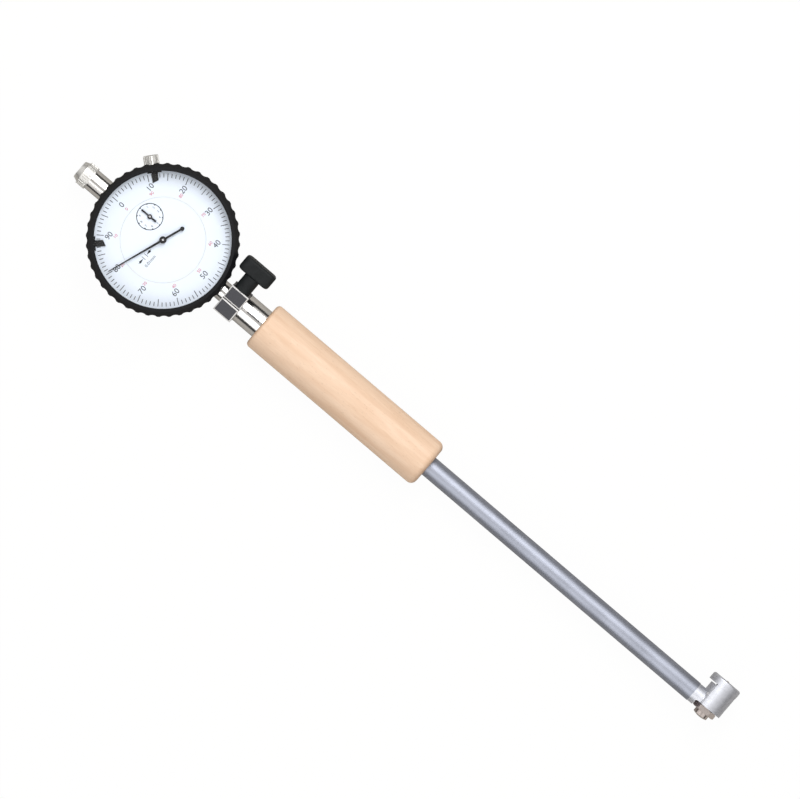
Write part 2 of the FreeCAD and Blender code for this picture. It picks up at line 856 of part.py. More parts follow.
def crystal():
    glass = Piece("crystal", DIAL)
    crown = "opening_radius - crown_gap"
    glass.turn([
        ("0", "crystal_bottom"),
        ("stack_radius", "crystal_bottom"),
        ("stack_radius", "crystal_edge"),
        (crown, "crystal_edge"),
        (crown + " - crystal_crown", "crystal_edge + crystal_crown"),
        ("0", "crystal_edge + crystal_crown"),
    ])


def dial_spacer_ring():
    spacer = Piece("dial_spacer_ring", DIAL)
    spacer.turn(ring("spacer_inner", "stack_radius", "dial_top", "crystal_bottom"))


def dial_ring():
    """The turning outer part of the dial, which carries the hundred divisions."""
    dial = Piece("dial_ring", DIAL)
    dial.turn(ring("dial_split_radius + dial_split_gap", "stack_radius", "dial_bottom", "dial_top"))


def limit_marker(label, angle):
    """A tab that points at the divisions, on a curved foot that slides round the spacer ring."""
    marker = Piece(label, ("0", "0", "dial_top + marker_lift", Vector(0, 0, 1), angle))
    outer = "spacer_inner - marker_clearance"
    inner = outer + " - marker_foot_width"
    foot = marker.turn(ring(inner, outer, "0", "marker_foot_height"))
    foot.Midplane = True
    bind(foot, "Angle", "marker_foot_span")
    root = outer + " - marker_foot_width / 2"
    tab = marker.outline([
        (root, "-marker_width / 2"),
        (root, "marker_width / 2"),
        ("marker_reach", "marker_width / 2"),
        ("marker_reach + marker_slant", "-marker_width / 2"),
    ])
    marker.pad(tab, "marker_thickness")


def bezel_lock_screw():
    """A knurled screw whose flange presses on the bezel's lower rim."""
    frame = (
        "(bezel_flange + lock_gap) * cos(lock_angle)",
        "(bezel_flange + lock_gap) * sin(lock_angle)",
        "lock_height",
        Vector(0, 0, 1),
        "0",
    )
    screw = Piece("bezel_lock_screw", frame)
    turned = Rotation(Vector(0, 0, 1), value("lock_angle")) * Rotation(Vector(0, 1, 0), 90)
    screw.body.Placement = Placement(screw.body.Placement.Base, turned)
    shank_end = "-(bezel_flange + lock_gap - case_inner - lock_inset)"
    screw.turn([
        ("0", shank_end),
        ("lock_shank_radius", shank_end),
        ("lock_shank_radius", "0"),
        ("lock_radius", "0"),
        ("lock_radius", "lock_length - lock_chamfer"),
        ("lock_radius - lock_chamfer", "lock_length"),
        ("0", "lock_length"),
    ])
    notch = [
        ("lock_radius - knurl_depth", "0"),
        ("lock_radius + knurl_depth", "-knurl_spread * knurl_depth"),
        ("lock_radius + knurl_depth", "knurl_spread * knurl_depth"),
    ]
    knurl = screw.pocket(screw.outline(notch, lift="lock_length"), "2 * (lock_length - lock_rim)")
    screw.around([knurl], "knurl_count")


# --------------------------------------------------------------------------------------
# Dial and pointers
# --------------------------------------------------------------------------------------

def inner_dial():
    """The fixed middle of the dial, on three feet that stand on the upper plate."""
    dial = Piece("inner_dial", DIAL)
    dial.turn(ring("0", "dial_split_radius", "dial_bottom", "dial_top"))
    dial.pad(dial.circles(DIAL_FEET, "dial_foot_radius", lift="upper_top"), "dial_foot_length")
    holes = dial.circles([("0", "0"), ("takeup_x", "takeup_y")], "pointer_hole_radius")
    dial.pocket(holes, "through")


def pointer(label, frame, lift, hub, blade):
    """A flat blade on a hub: hub is (radius, height), blade the blade's corners and thickness."""
    hand = Piece(label, frame)
    hub_radius, hub_height, bore = hub
    corners, thickness, blade_lift = blade
    hand.turn(ring(bore, hub_radius, lift, lift + " + " + hub_height))
    hand.pad(hand.outline(corners, lift=lift + " + " + blade_lift), thickness)
    hand.pocket(hand.circles([("0", "0")], bore), "through")


def main_pointer():
    """The long pointer: a blade that tapers to the divisions and a round-ended tail."""
    tail = [
        ("pointer_tail_width / 2 * cos(%d)" % angle,
         "-pointer_tail + pointer_tail_width / 2 * (1 + sin(%d))" % angle)
        for angle in (150, 195, 240, 300, 345, 390)
    ]
    corners = [
        ("pointer_root_width / 2", "0"),
        ("pointer_tip_width / 2", "pointer_length - pointer_tip_width"),
        ("0", "pointer_length"),
        ("-pointer_tip_width / 2", "pointer_length - pointer_tip_width"),
        ("-pointer_root_width / 2", "0"),
    ]
    frame = ("0", "0", "0", Vector(0, 0, 1), "pointer_angle")
    pointer(
        "main_pointer", frame, "dial_top + pointer_lift",
        ("pointer_hub_radius", "pointer_hub_height", "pivot_radius"),
        (corners + tail, "pointer_thickness", "pointer_thickness"),
    )


def small_pointer():
    corners = [
        ("small_pointer_width / 2", "0"),
        ("0", "small_pointer_length"),
        ("-small_pointer_width / 2", "0"),
        ("-small_pointer_width / 3", "-small_pointer_tail"),
        ("small_pointer_width / 3", "-small_pointer_tail"),
    ]
    pointer(
        "small_pointer", TAKEUP_ARBOR, "dial_top + small_pointer_lift",
        ("small_pointer_hub_radius", "small_pointer_hub_height", "pivot_radius"),
        (corners, "small_pointer_thickness", "small_pointer_thickness"),
    )


# --------------------------------------------------------------------------------------
# Movement
# --------------------------------------------------------------------------------------

ARBORS = [("0", "0"), ("rack_arbor_x", "rack_arbor_y"), ("takeup_x", "takeup_y")]


def movement_plates():
    """Two plates that hold the arbors, apart on four pillars; screws hold them together."""
    pivot_hole = "pivot_radius + pivot_clearance"
    screw_hole = "screw_radius + screw_clearance"
    lower = Piece("lower_plate", DIAL)
    lower.turn(ring("0", "case_inner - plate_clearance", "boss_top", "lower_top"))
    lower.pocket(lower.circles(BOSSES, screw_hole), "through")
    lower.pocket(lower.circles([ARBORS[0], ARBORS[2]], pivot_hole), "through")
    passing = lower.circles([ARBORS[1]], "arbor_radius + pivot_clearance")
    lower.pocket(passing, "through")

    upper = Piece("upper_plate", DIAL)
    upper.turn(ring("0", "upper_plate_radius", "upper_bottom", "upper_top"))
    upper.pocket(upper.circles(PILLARS, screw_hole), "through")
    upper.pocket(upper.circles(ARBORS, pivot_hole), "through")

    pillars = Piece("plate_pillars", DIAL)
    pillars.pad(pillars.circles(PILLARS, "pillar_radius", lift="lower_top"), "pillar_length")
    thread = pillars.circles(PILLARS, "screw_radius + thread_clearance", lift="upper_bottom")
    pillars.pocket(thread, "2 * (pillar_length - pillar_floor)")

    screws = Piece("plate_screws", DIAL)
    screws.pad(screws.circles(PILLARS, "screw_head_radius", lift="upper_top"), "screw_head_height")
    shank = "plate_thickness + pillar_length / 2"
    screws.pad(screws.circles(PILLARS, "screw_radius", lift="upper_top - (%s)" % shank), shank)


def arbor(label, frame, steps):
    """A stepped shaft turned from (radius, height) steps, lowest first."""
    shaft = Piece(label, frame)
    shaft.turn([("0", steps[0][1])] + steps + [("0", steps[-1][1])])


def gear_train():
    """Rack pinion and wheel, centre pinion, and take-up wheel, with their teeth in mesh."""
    wheel_teeth = int(value("wheel_teeth"))
    pinion_teeth = int(value("pinion_teeth"))
    rack_teeth = int(value("rack_pinion_teeth"))
    to_centre = math.atan2(-value("rack_arbor_y"), -value("rack_arbor_x"))
    to_takeup = math.atan2(value("takeup_y"), value("takeup_x"))
    centre_phase = mating_phase(0, wheel_teeth, to_centre, pinion_teeth)
    takeup_phase = mating_phase(centre_phase, pinion_teeth, to_takeup, wheel_teeth)

    shoulder = "upper_bottom - shoulder_play"
    foot = [
        ("pivot_radius", "boss_top"),
        ("pivot_radius", "lower_top + shoulder_play"),
        ("arbor_radius", "lower_top + shoulder_play"),
        ("arbor_radius", shoulder),
        ("pivot_radius", shoulder),
    ]
    pointer_top = "dial_top + pointer_lift + pointer_hub_height"
    small_top = "dial_top + small_pointer_lift + small_pointer_hub_height"
    rack_foot = "axis_height - rack_pinion_height / 2 - arbor_overhang"
    arbor("rack_arbor", RACK_ARBOR, [
        ("arbor_radius", rack_foot),
        ("arbor_radius", shoulder),
        ("pivot_radius", shoulder),
        ("pivot_radius", "upper_top"),
    ])
    arbor("centre_arbor", DIAL, foot + [("pivot_radius", pointer_top)])
    arbor("takeup_arbor", TAKEUP_ARBOR, foot + [("pivot_radius", small_top)])

    bore = value("arbor_radius")
    rack_pinion = toothed(
        rack_teeth, "rack", 0, value("axis_height - rack_pinion_height / 2"),
        value("rack_pinion_height"), bore, 3)
    solid_piece("rack_pinion", rack_pinion, RACK_ARBOR)
    centre_pinion = toothed(
        pinion_teeth, "pinion", centre_phase, value("wheel_bottom - pinion_overhang"),
        value("pinion_height"), bore, 4)
    solid_piece("centre_pinion", centre_pinion, DIAL)
    for label, frame, phase in (
        ("rack_wheel", RACK_ARBOR, 0),
        ("takeup_wheel", TAKEUP_ARBOR, takeup_phase),
    ):
        wheel = toothed(
            wheel_teeth, "wheel", phase, value("wheel_bottom"), value("wheel_thickness"), bore, 2)
        solid_piece(label, wheel.cut(wheel_windows()), frame)


def wheel_windows():
    """Four openings that leave a rim, four spokes and a hub."""
    rim = value("gear_module * wheel_teeth / 2 - wheel_rim")
    hub = value("wheel_hub")
    spoke = value("wheel_spoke")
    height = value("dial_top")
    space = Part.makeCylinder(rim, height).cut(Part.makeCylinder(hub, height))
    for angle in (0, 90):
        bar = Part.makeBox(2 * rim, spoke, height, Vector(-rim, -spoke / 2, 0))
        bar.rotate(Vector(), Vector(0, 0, 1), angle)
        space = space.cut(bar)
    return space


def hairspring():
    """A flat spiral that takes up the backlash, and the stud that holds its outer end."""
    turns = int(value("hairspring_turns"))
    steps = 14 * turns
    inner = value("arbor_radius + hairspring_thickness")
    outer = value("hairspring_radius")
    half = value("hairspring_thickness") / 2
    bottom = value("wheel_bottom + wheel_thickness + hairspring_lift")
    width = value("hairspring_width")
    sections = []
    for step in range(steps + 1):
        angle = 2 * math.pi * turns * step / steps
        out = Vector(math.cos(angle), math.sin(angle), 0)
        middle = out * (inner + (outer - inner) * step / steps) + Vector(0, 0, bottom)
        up = Vector(0, 0, width)
        near, far = middle - out * half, middle + out * half
        sections.append([near, far, far + up, near + up])
    solid_piece("hairspring", swept(sections), TAKEUP_ARBOR)
    stud = Piece("hairspring_stud", TAKEUP_ARBOR)
    place = [("hairspring_radius + hairspring_thickness / 2 + stud_radius", "0")]
    stud.pad(
        stud.circles(place, "stud_radius", lift="wheel_bottom + wheel_thickness + hairspring_lift"),
        "upper_bottom - wheel_bottom - wheel_thickness - hairspring_lift")


# --------------------------------------------------------------------------------------
# Plunger
# --------------------------------------------------------------------------------------

def plunger():
    """The sliding spindle, with a rack cut in its side for the pinion."""
    spindle = Piece("plunger", TOOL)
    spindle.turn(ring("0", "plunger_radius", "-plunger_top", "plunger_bottom"))
    spindle.soften("Chamfer", "edge_round", circle_at("plunger_radius", "-plunger_top"))
    start = "-rack_arbor_y - rack_reach"
    end = "-rack_arbor_y + rack_reach"
    flat = rectangle("-2 * plunger_radius", "-rack_flat", start, end)
    spindle.pocket(spindle.outline(flat, "XZ_Plane"), "through")
    depth = "(rack_flat - rack_root)"
    root = "rack_pitch / 4 + backlash / 4 - (rack_pitch_plane - rack_root) * tan(pressure_angle)"
    mouth = root + " + %s * tan(pressure_angle)" % depth
    middle = "-rack_arbor_y"
    spaces = int(value("rack_reach") / value("rack_pitch"))
    gap = spindle.outline([
        ("-rack_flat", middle + " - (%s)" % mouth),
        ("-rack_root", middle + " - (%s)" % root),
        ("-rack_root", middle + " + (%s)" % root),
        ("-rack_flat", middle + " + (%s)" % mouth),
    ], "XZ_Plane")
    space = spindle.pocket(gap, "through")
    for direction in (True, False):
        pattern = spindle.body.newObject("PartDesign::LinearPattern", "Rack")
        pattern.Originals = [space]
        pattern.Direction = (spindle.datum("Z_Axis"), [""])
        pattern.Reversed = direction
        bind(pattern, "Length", "rack_pitch * %d" % (spaces - 1))
        pattern.Occurrences = spaces
        spindle.body.Tip = pattern
    hole = spindle.circles([("0", "-pin_place")], "pin_radius", "YZ_Plane", "plunger_radius")
    spindle.pocket(hole, "2 * plunger_radius")
    tip_hole = spindle.circles([("0", "0")], "tip_nose_radius", lift="plunger_bottom")
    spindle.pocket(tip_hole, "2 * tip_length")


def contact_tip():
    """A screwed tip with a rounded nose that bears on the push rod."""
    tip = Piece("contact_tip", TOOL)
    tip.turn([
        ("0", "plunger_bottom - tip_length + tip_thread_gap"),
        ("tip_nose_radius - thread_clearance", "plunger_bottom - tip_length + tip_thread_gap"),
        ("tip_nose_radius - thread_clearance", "plunger_bottom"),
        ("tip_radius", "plunger_bottom"),
        ("tip_radius", "plunger_bottom + tip_length / 2"),
        ("tip_nose_radius", "tip_end - tip_nose_radius / 2"),
        ("tip_nose_radius / 2", "tip_end"),
        ("0", "tip_end"),
    ])


def plunger_pin():
    """A cross pin that keeps the plunger from turning and holds its return spring."""
    across = ("0", "pin_place", "axis_height", Vector(0, 1, 0), "90")
    pin = Piece("plunger_pin", across)
    pin.turn(ring("0", "pin_radius", "plunger_clearance", "pin_reach"))


def plunger_guide():
    """A slotted block under the lower plate, which the cross pin slides in."""
    guide = Piece("plunger_guide", ("0", "pin_place", "0", Vector(0, 0, 1), "0"))
    start = "-pin_radius - guide_wall"
    reach = "pin_travel + pin_radius + guide_wall"
    block = rectangle("guide_offset", "guide_offset + guide_width", start, reach)
    drop = "axis_height - pin_radius - guide_wall"
    guide.pad(guide.outline(block, lift=drop), "boss_top - (%s)" % drop)
    gap = "pin_radius + plunger_clearance"
    slot = rectangle(
        "-(%s)" % gap, "pin_travel + " + gap, "axis_height - (%s)" % gap, "axis_height + " + gap)
    middle = "guide_offset + guide_width / 2"
    guide.pocket(guide.outline(slot, "YZ_Plane", middle), "2 * guide_width")


def plunger_return():
    """The plunger's tension spring, from its cross pin to a post under the lower plate."""
    post = Piece("spring_post", ("spring_offset", "-post_place", "0", Vector(0, 0, 1), "0"))
    drop = "axis_height - spring_radius - spring_wire"
    post.pad(post.circles([("0", "0")], "post_radius", lift=drop), "boss_top - (%s)" % drop)
    length = value("pin_place + post_place - pin_radius - post_radius - 2 * thread_clearance")
    shape = coil(value("spring_radius"), value("spring_wire"), length, value("spring_turns"), 10)
    start = "post_place - post_radius - thread_clearance"
    place = ("spring_offset", "-(%s)" % start, "axis_height", Vector(1, 0, 0), "-90")
    solid_piece("plunger_spring", shape, place)


# --------------------------------------------------------------------------------------
# Stem, sleeve and dust cap
# --------------------------------------------------------------------------------------

def stem_and_sleeve():
    """The stem that the clamp grips, and the short sleeve above the case."""
    bore = "plunger_radius + plunger_clearance"
    stem = Piece("stem_sleeve", TOOL)
    stem.turn(ring(bore, "stem_radius", "case_inner - sleeve_inset", "stem_end"))
    stem.soften("Chamfer", "edge_round", circle_at("stem_radius", "stem_end"))
    sleeve = Piece("upper_sleeve", TOOL)
    sleeve.turn(ring(bore, "sleeve_radius", "-sleeve_end", "-case_inner + sleeve_inset"))


def dust_cap():
    """A knurled screw cap over the plunger's upper end."""
    cap = Piece("dust_cap", TOOL)
    skirt_end = "-cap_start"
    inside = "sleeve_radius - cap_wall"
    cap.turn([
        ("sleeve_radius + thread_clearance", skirt_end),
        ("cap_radius", skirt_end),
        ("cap_radius", "-cap_start - cap_knurl_length"),
        ("cap_radius - cap_shoulder", "-cap_start - cap_knurl_length"),
        ("cap_top_radius", "-cap_end"),
        ("0", "-cap_end"),
        ("0", "-cap_end + cap_wall"),
        (inside, "-cap_end + cap_wall"),
        (inside, "-sleeve_end - cap_gap"),
        ("sleeve_radius + thread_clearance", "-sleeve_end - cap_gap"),
    ])
    notch = [
        ("cap_radius - cap_knurl_depth", "0"),
        ("cap_radius + cap_knurl_depth", "-knurl_spread * cap_knurl_depth"),
        ("cap_radius + cap_knurl_depth", "knurl_spread * cap_knurl_depth"),
    ]
    sketch = cap.outline(notch, lift="-cap_start - cap_knurl_length / 2")
    knurl = cap.pocket(sketch, "cap_knurl_length - cap_knurl_margin")
    cap.around([knurl], "cap_knurl_count")


# --------------------------------------------------------------------------------------
# Pinch clamp
# --------------------------------------------------------------------------------------

def clamp_ring():
    """A split ring with two square ears, which the clamp screw draws together."""
    ring_body = Piece("clamp_ring", CLAMP)
    ring_body.pad(ring_body.circles([("0", "0")], "clamp_radius", "XZ_Plane"), "clamp_length")
    ears = rectangle("-ear_reach", "ear_reach", "0", "ear_height")
    ring_body.pad(ring_body.outline(ears, "XZ_Plane"), "clamp_length")
    ring_body.pocket(ring_body.circles([("0", "0")], "clamp_bore", "XZ_Plane"), "through")
    slit = rectangle("-slit_width / 2", "slit_width / 2", "0", "2 * ear_height")
    ring_body.pocket(ring_body.outline(slit, "XZ_Plane"), "through")
    screw_hole = ring_body.circles(
        [("-clamp_length / 2", "screw_height")], "clamp_screw_radius + thread_clearance", "YZ_Plane")
    ring_body.pocket(screw_hole, "through")

    def ear_rim(edge):
        box = edge.BoundBox
        flat_top = box.ZMin > value("ear_height") - 1e-4
        return flat_top and edge.Length > 1
    ring_body.soften("Chamfer", "ear_chamfer", ear_rim)


def clamp_screw():
    """The clamp's steel screw, and the moulded T-shaped knob on its end."""
    screw = Piece("clamp_screw", CLAMP_SCREW)
    screw.turn(ring("0", "clamp_screw_radius", "-clamp_screw_end", "ear_reach + knob_socket"))
    knob = Piece("clamp_knob", CLAMP_SCREW)
    boss_start = "ear_reach + knob_gap"
    boss_end = "ear_reach + knob_boss_length"
    bar = rectangle(
        "-knob_bar_width / 2", "knob_bar_width / 2", "-knob_bar_length / 2", "knob_bar_length / 2")
    knob.pad(knob.outline(bar, lift=boss_end), "knob_bar_thickness")
    knob.soften("Fillet", "knob_corner", lambda edge: edge.BoundBox.ZLength > 1)
    knob.soften("Fillet", "knob_round", lambda edge: edge.BoundBox.ZLength < 1e-3)
    knob.pad(knob.circles([("0", "0")], "knob_boss_radius", lift=boss_start), "knob_boss_length")
    socket = knob.circles([("0", "0")], "clamp_screw_radius")
    knob.pocket(socket, "2 * (ear_reach + knob_socket)")


# --------------------------------------------------------------------------------------
# Neck tube, handle and probe tube
# --------------------------------------------------------------------------------------

def neck_tube():
    """A tube that is split at the front, so that the clamp can close it on the stem."""
    tube = Piece("neck_tube", TOOL)
    tube.turn([
        ("tube_bore", "clamp_start + tube_gap"),
        ("neck_radius", "clamp_start + tube_gap"),
        ("neck_radius", "clamp_end + tube_gap"),
        ("tube_radius", "clamp_end + tube_gap"),
        ("tube_radius", "tube_end"),
        ("tube_lower_bore", "tube_end"),
        ("tube_lower_bore", "probe_start"),
        ("tube_bore", "probe_start"),
    ])
    slit = rectangle("-tube_slit_width / 2", "tube_slit_width / 2", "0", "tube_slit_end")
    tube.pocket(tube.outline(slit, "XZ_Plane", "-tube_radius"), "2 * (tube_radius - tube_slit_floor)")


def handle():
    """A turned wooden grip, glued over the neck tube and the probe tube."""
    grip = Piece("handle", TOOL)
    upper_bore = "tube_radius + handle_fit"
    lower_bore = "probe_radius + handle_fit"
    step = "tube_end + handle_fit"
    grip.turn([
        (upper_bore, "handle_start"),
        ("handle_radius", "handle_start"),
        ("handle_radius", "handle_end"),
        (lower_bore, "handle_end"),
        (lower_bore, step),
        (upper_bore, step),
    ])
    grip.soften("Fillet", "handle_top_round", circle_at("handle_radius", "handle_start"))
    grip.soften("Fillet", "handle_bottom_round", circle_at("handle_radius", "handle_end"))


def probe():
    """The long tube, the push rod inside it, its two bushes and its spring."""
    tube = Piece("probe_tube", TOOL)
    tube.turn(ring("probe_bore", "probe_radius", "probe_start + handle_fit", "probe_end"))

    rod = Piece("push_rod", TOOL)
    rod.turn([
        ("0", "rod_top"),
        ("rod_radius", "rod_top"),
        ("rod_radius", "collar_place"),
        ("rod_collar_radius", "collar_place"),
        ("rod_collar_radius", "collar_place + collar_length"),
        ("rod_radius", "collar_place + collar_length"),
        ("rod_radius", "rod_bottom"),
        ("0", "rod_bottom"),
    ])

    bushes = Piece("rod_bushes", TOOL)
    bore = "rod_radius + rod_clearance"
    outer = "probe_bore - thread_clearance"
    for place in ("upper_bush_place", "lower_bush_place"):
        wall = bushes.circles([("0", "0")], outer, lift=place)
        bushes.circles([("0", "0")], bore, sketch=wall)
        bushes.pad(wall, "bush_length")

    start = "upper_bush_place + bush_length + thread_clearance"
    length = value("collar_place - thread_clearance") - value(start)
    shape = coil(value("rod_spring_radius"), value("rod_spring_wire"), length,
                 value("rod_spring_turns"))
    place = ("0", "-(%s)" % start, "axis_height", Vector(1, 0, 0), "90")
    solid_piece("push_rod_spring", shape, place)


# --------------------------------------------------------------------------------------
# Measuring head
# --------------------------------------------------------------------------------------

def tip_sleeve():
    """The collar between the probe tube and the head."""
    sleeve = Piece("tip_sleeve", TOOL)
    bore = "spigot_radius + clamp_fit"
    sleeve.turn(ring(bore, "tip_sleeve_radius", "probe_end", "probe_end + collar_thickness"))


def head_body():
    """A spigot for the tube and a barrel across it, bored for the anvils and slotted inside."""
    head = Piece("head_body", HEAD)
    middle = [("0", "0")]
    head.turn(ring("0", "barrel_radius", "-barrel_left", "barrel_right"))
    neck = head.circles(middle, "tip_sleeve_radius", "XZ_Plane", "-neck_top")
    head.pad(neck, "neck_top")
    spigot = head.circles(middle, "spigot_radius", "XZ_Plane", "-spigot_top")
    head.pad(spigot, "spigot_top - neck_top")
    nut_room = rectangle("-nut_width", "nut_width", "-barrel_left - nut_width", "-barrel_left")
    head.pocket(head.outline(nut_room, "XZ_Plane"), "2 * (nut_corner + nut_gap)")

    rod_bore = head.circles(middle, "rod_radius + rod_clearance", "XZ_Plane", "-spigot_top")
    head.pocket(rod_bore, "2 * (spigot_top - lever_arm)")
    anvil_bore = head.circles(middle, "anvil_radius + anvil_clearance", lift="barrel_right")
    head.pocket(anvil_bore, "2 * (barrel_right - lever_arm)")
    shank = "fixed_shank_radius + thread_clearance"
    head.pocket(head.circles(middle, shank, lift="-barrel_left"), "2 * fixed_shank_depth")
    head.pocket(head.circles(SPRING_SEATS, "spring_seat_radius", lift="barrel_right"),
                "2 * bridge_spring_depth")

    # The lever works in an angled slot: one leg for the rod's arm and one for the anvil's.
    slot = head.outline([
        ("lever_high", "lever_arm - lever_ball_y - lever_room"),
        ("lever_low", "lever_arm - lever_ball_y - lever_room"),
        ("lever_low", "lever_low"),
        ("-lever_room", "lever_low"),
        ("-lever_room", "lever_high"),
        ("lever_high", "lever_high"),
    ], "YZ_Plane")
    head.pocket(slot, "lever_thickness + 2 * lever_side_room")
    pin_hole = head.circles([("lever_arm", "lever_arm")], "lever_pin_radius", "YZ_Plane")
    head.pocket(pin_hole, "through")
    stop_place = [("-stop_pin_offset", "stop_pin_place")]
    head.pocket(head.circles(stop_place, "stop_pin_radius", "YZ_Plane"), "through")
    screw_place = [("0", "bridge_screw_place")]
    screw_hole = head.circles(screw_place, "bridge_screw_radius", "XZ_Plane", "barrel_radius")
    head.pocket(screw_hole, "2 * bridge_screw_depth")


def transfer_lever():
    """A bell crank that turns the anvil's travel through a right angle, arm for arm."""
    frame = ("lever_arm", "-lever_pivot", "axis_height", Vector(0, 0, 1), "lever_rest")
    lever = Piece("transfer_lever", frame)
    bottom = "-lever_thickness / 2"
    lever.pad(lever.circles([("0", "0")], "lever_hub", lift=bottom), "lever_thickness")
    down = rectangle("-lever_web / 2", "lever_web / 2", "-lever_arm", "0")
    lever.pad(lever.outline(down, lift=bottom), "lever_thickness")
    left = rectangle("-lever_arm", "0", "-lever_web / 2", "lever_web / 2")
    lever.pad(lever.outline(left, lift=bottom), "lever_thickness")
    noses = [("0", "-lever_arm"), ("-lever_arm", "0")]
    lever.pad(lever.circles(noses, "lever_ball", lift=bottom), "lever_thickness")
    bore = "lever_pin_radius + pivot_clearance"
    lever.pocket(lever.circles([("0", "0")], bore), "2 * lever_thickness")

    pin = Piece("lever_pin", ("lever_arm", "-lever_pivot", "axis_height", Vector(0, 0, 1), "0"))
    half = "sqrt(barrel_radius ^ 2 - lever_arm ^ 2) - pin_sink"
    pin.turn(ring("0", "lever_pin_radius", "-(%s)" % half, half))


def movable_anvil():
    """A plunger across the head with a necked middle for its stop pin and a hard ball tip."""
    anvil = Piece("movable_anvil", HEAD)
    neck_start = "stop_pin_place - stop_pin_radius - stop_play"
    neck_end = "stop_pin_place + stop_pin_radius + stop_play + working_travel"
    anvil.turn([
        ("0", "anvil_inner"),
        ("anvil_radius", "anvil_inner"),
        ("anvil_radius", neck_start),
        ("anvil_neck_radius", neck_start),
        ("anvil_neck_radius", neck_end),
        ("anvil_radius", neck_end),
        ("anvil_radius", "anvil_end"),
        ("0", "anvil_end"),
    ])

    radius = value("ball_radius")
    ball = Part.makeSphere(radius, Vector(0, 0, value("anvil_tip") - radius))
    keep = Part.makeCylinder(2 * radius, 2 * radius, Vector(0, 0, value("anvil_end")))
    solid_piece("anvil_ball", ball.common(keep), HEAD)

    place = ("stop_pin_place", "-head_place - stop_pin_offset", "axis_height", Vector(0, 0, 1), "0")
    pin = Piece("anvil_stop_pin", place)
    half = "sqrt(barrel_radius ^ 2 - stop_pin_offset ^ 2) - pin_sink"
    pin.turn(ring("0", "stop_pin_radius", "-(%s)" % half, half))


def fixed_anvil():
    """A screw with a domed contact face, and the hexagonal nut that locks it."""
    anvil = Piece("fixed_anvil", HEAD)
    dome_start = "-fixed_head_start - fixed_head_length"
    dome_corners = [
        ("fixed_head_radius * %s" % share, "%s - fixed_dome * (1 - %s ^ 2)" % (dome_start, share))
        for share in ("0.75", "0.5", "0.25")
    ]
    anvil.turn([
        ("0", "fixed_shank_depth - barrel_left"),
        ("fixed_shank_radius", "fixed_shank_depth - barrel_left"),
        ("fixed_shank_radius", "-fixed_head_start"),
        ("fixed_head_radius", "-fixed_head_start"),
        ("fixed_head_radius", dome_start),
    ] + dome_corners + [("0", "-fixed_tip")])

    nut = Piece("lock_nut", HEAD)
    hexagon = on_circle("nut_corner", [str(60 * n + 30) for n in range(6)])
    nut.pad(nut.outline(hexagon, lift="-fixed_head_start"), "nut_thickness")
    nut.pocket(nut.circles([("0", "0")], "fixed_shank_radius + thread_clearance"), "through")
    outside = "nut_corner + nut_gap"
    drop = "(nut_corner + nut_gap - nut_width / 2) * tan(nut_bevel)"
    for end, inward in (("-fixed_head_start", "+"), ("-barrel_left", "-")):
        nut.groove([
            ("nut_width / 2", end),
            (outside, end),
            (outside, "%s %s %s" % (end, inward, drop)),
        ])


def centring_bridge():
    """A cup that slides on the barrel and straddles the bore; its upper side clears the neck."""
    bridge = Piece("centring_bridge", HEAD)
    bridge.turn([
        ("skirt_inner", "-barrel_left"),
        ("bridge_radius", "-barrel_left"),
        ("bridge_radius", "flange_start"),
        ("flange_radius", "flange_start"),
        ("flange_radius", "flange_end"),
        ("bridge_hole", "flange_end"),
        ("bridge_hole", "flange_inside"),
        ("skirt_inner", "flange_inside"),
    ])
    bridge.soften("Fillet", "flange_round", circle_at("flange_radius", "flange_end"))
    above = rectangle("bridge_cut", "2 * bridge_radius", "-2 * barrel_left", "flange_start")
    bridge.pocket(bridge.outline(above, "YZ_Plane"), "through")
    half_slot = "bridge_screw_radius + bridge_clearance"
    slot = rectangle(
        "-(%s)" % half_slot,
        half_slot,
        "bridge_screw_place - (%s)" % half_slot,
        "bridge_screw_place + bridge_travel + " + half_slot,
    )
    wall = "2 * (bridge_radius - barrel_radius)"
    bridge.pocket(bridge.outline(slot, "XZ_Plane", "bridge_radius"), wall)

    screw = Piece("bridge_stop_screw", (
        "bridge_screw_place", "0", "axis_height", Vector(1, 0, 0), "90"))
    screw.turn(ring(
        "0", "bridge_screw_radius", "head_place + barrel_radius - bridge_screw_depth",
        "head_place + bridge_radius - bridge_screw_sink"))

    start = value("barrel_right - bridge_spring_depth + thread_clearance")
    length = value("flange_inside - thread_clearance") - start
    springs = []
    for side in (-1, 1):
        spring = coil(value("bridge_spring_radius"), value("bridge_spring_wire"), length,
                      value("bridge_spring_turns"), 10)
        spring.translate(Vector(side * value("bridge_spring_offset"), 0, start))
        springs.append(spring)
    solid_piece("bridge_springs", Part.makeCompound(springs), HEAD)


# --------------------------------------------------------------------------------------
# Build, check and export
# --------------------------------------------------------------------------------------

def build():
    indicator_case()
    back_cover()
    boss_screws("cover_screws", "head_sink", False)
    boss_screws("movement_screws", "lower_top", True)
    snap_ring("bezel_retaining_ring", "retainer_inner", "retainer_outer", "retainer_bottom")
    bezel()
    crystal()
    dial_spacer_ring()
    dial_ring()
    snap_ring("dial_snap_ring", "snap_inner", "snap_outer", "snap_bottom")
    limit_marker("limit_marker_left", "90 + marker_left_angle")
    limit_marker("limit_marker_right", "90 + marker_right_angle")
    bezel_lock_screw()
    inner_dial()
    main_pointer()
    small_pointer()
    movement_plates()
    gear_train()
    hairspring()
    plunger()
    contact_tip()
    plunger_pin()
    plunger_guide()
    plunger_return()
    stem_and_sleeve()
    dust_cap()
    clamp_ring()
    clamp_screw()
    neck_tube()
    handle()
    probe()
    tip_sleeve()
    head_body()
    transfer_lever()
    movable_anvil()
    fixed_anvil()
    centring_bridge()
    doc.recompute()


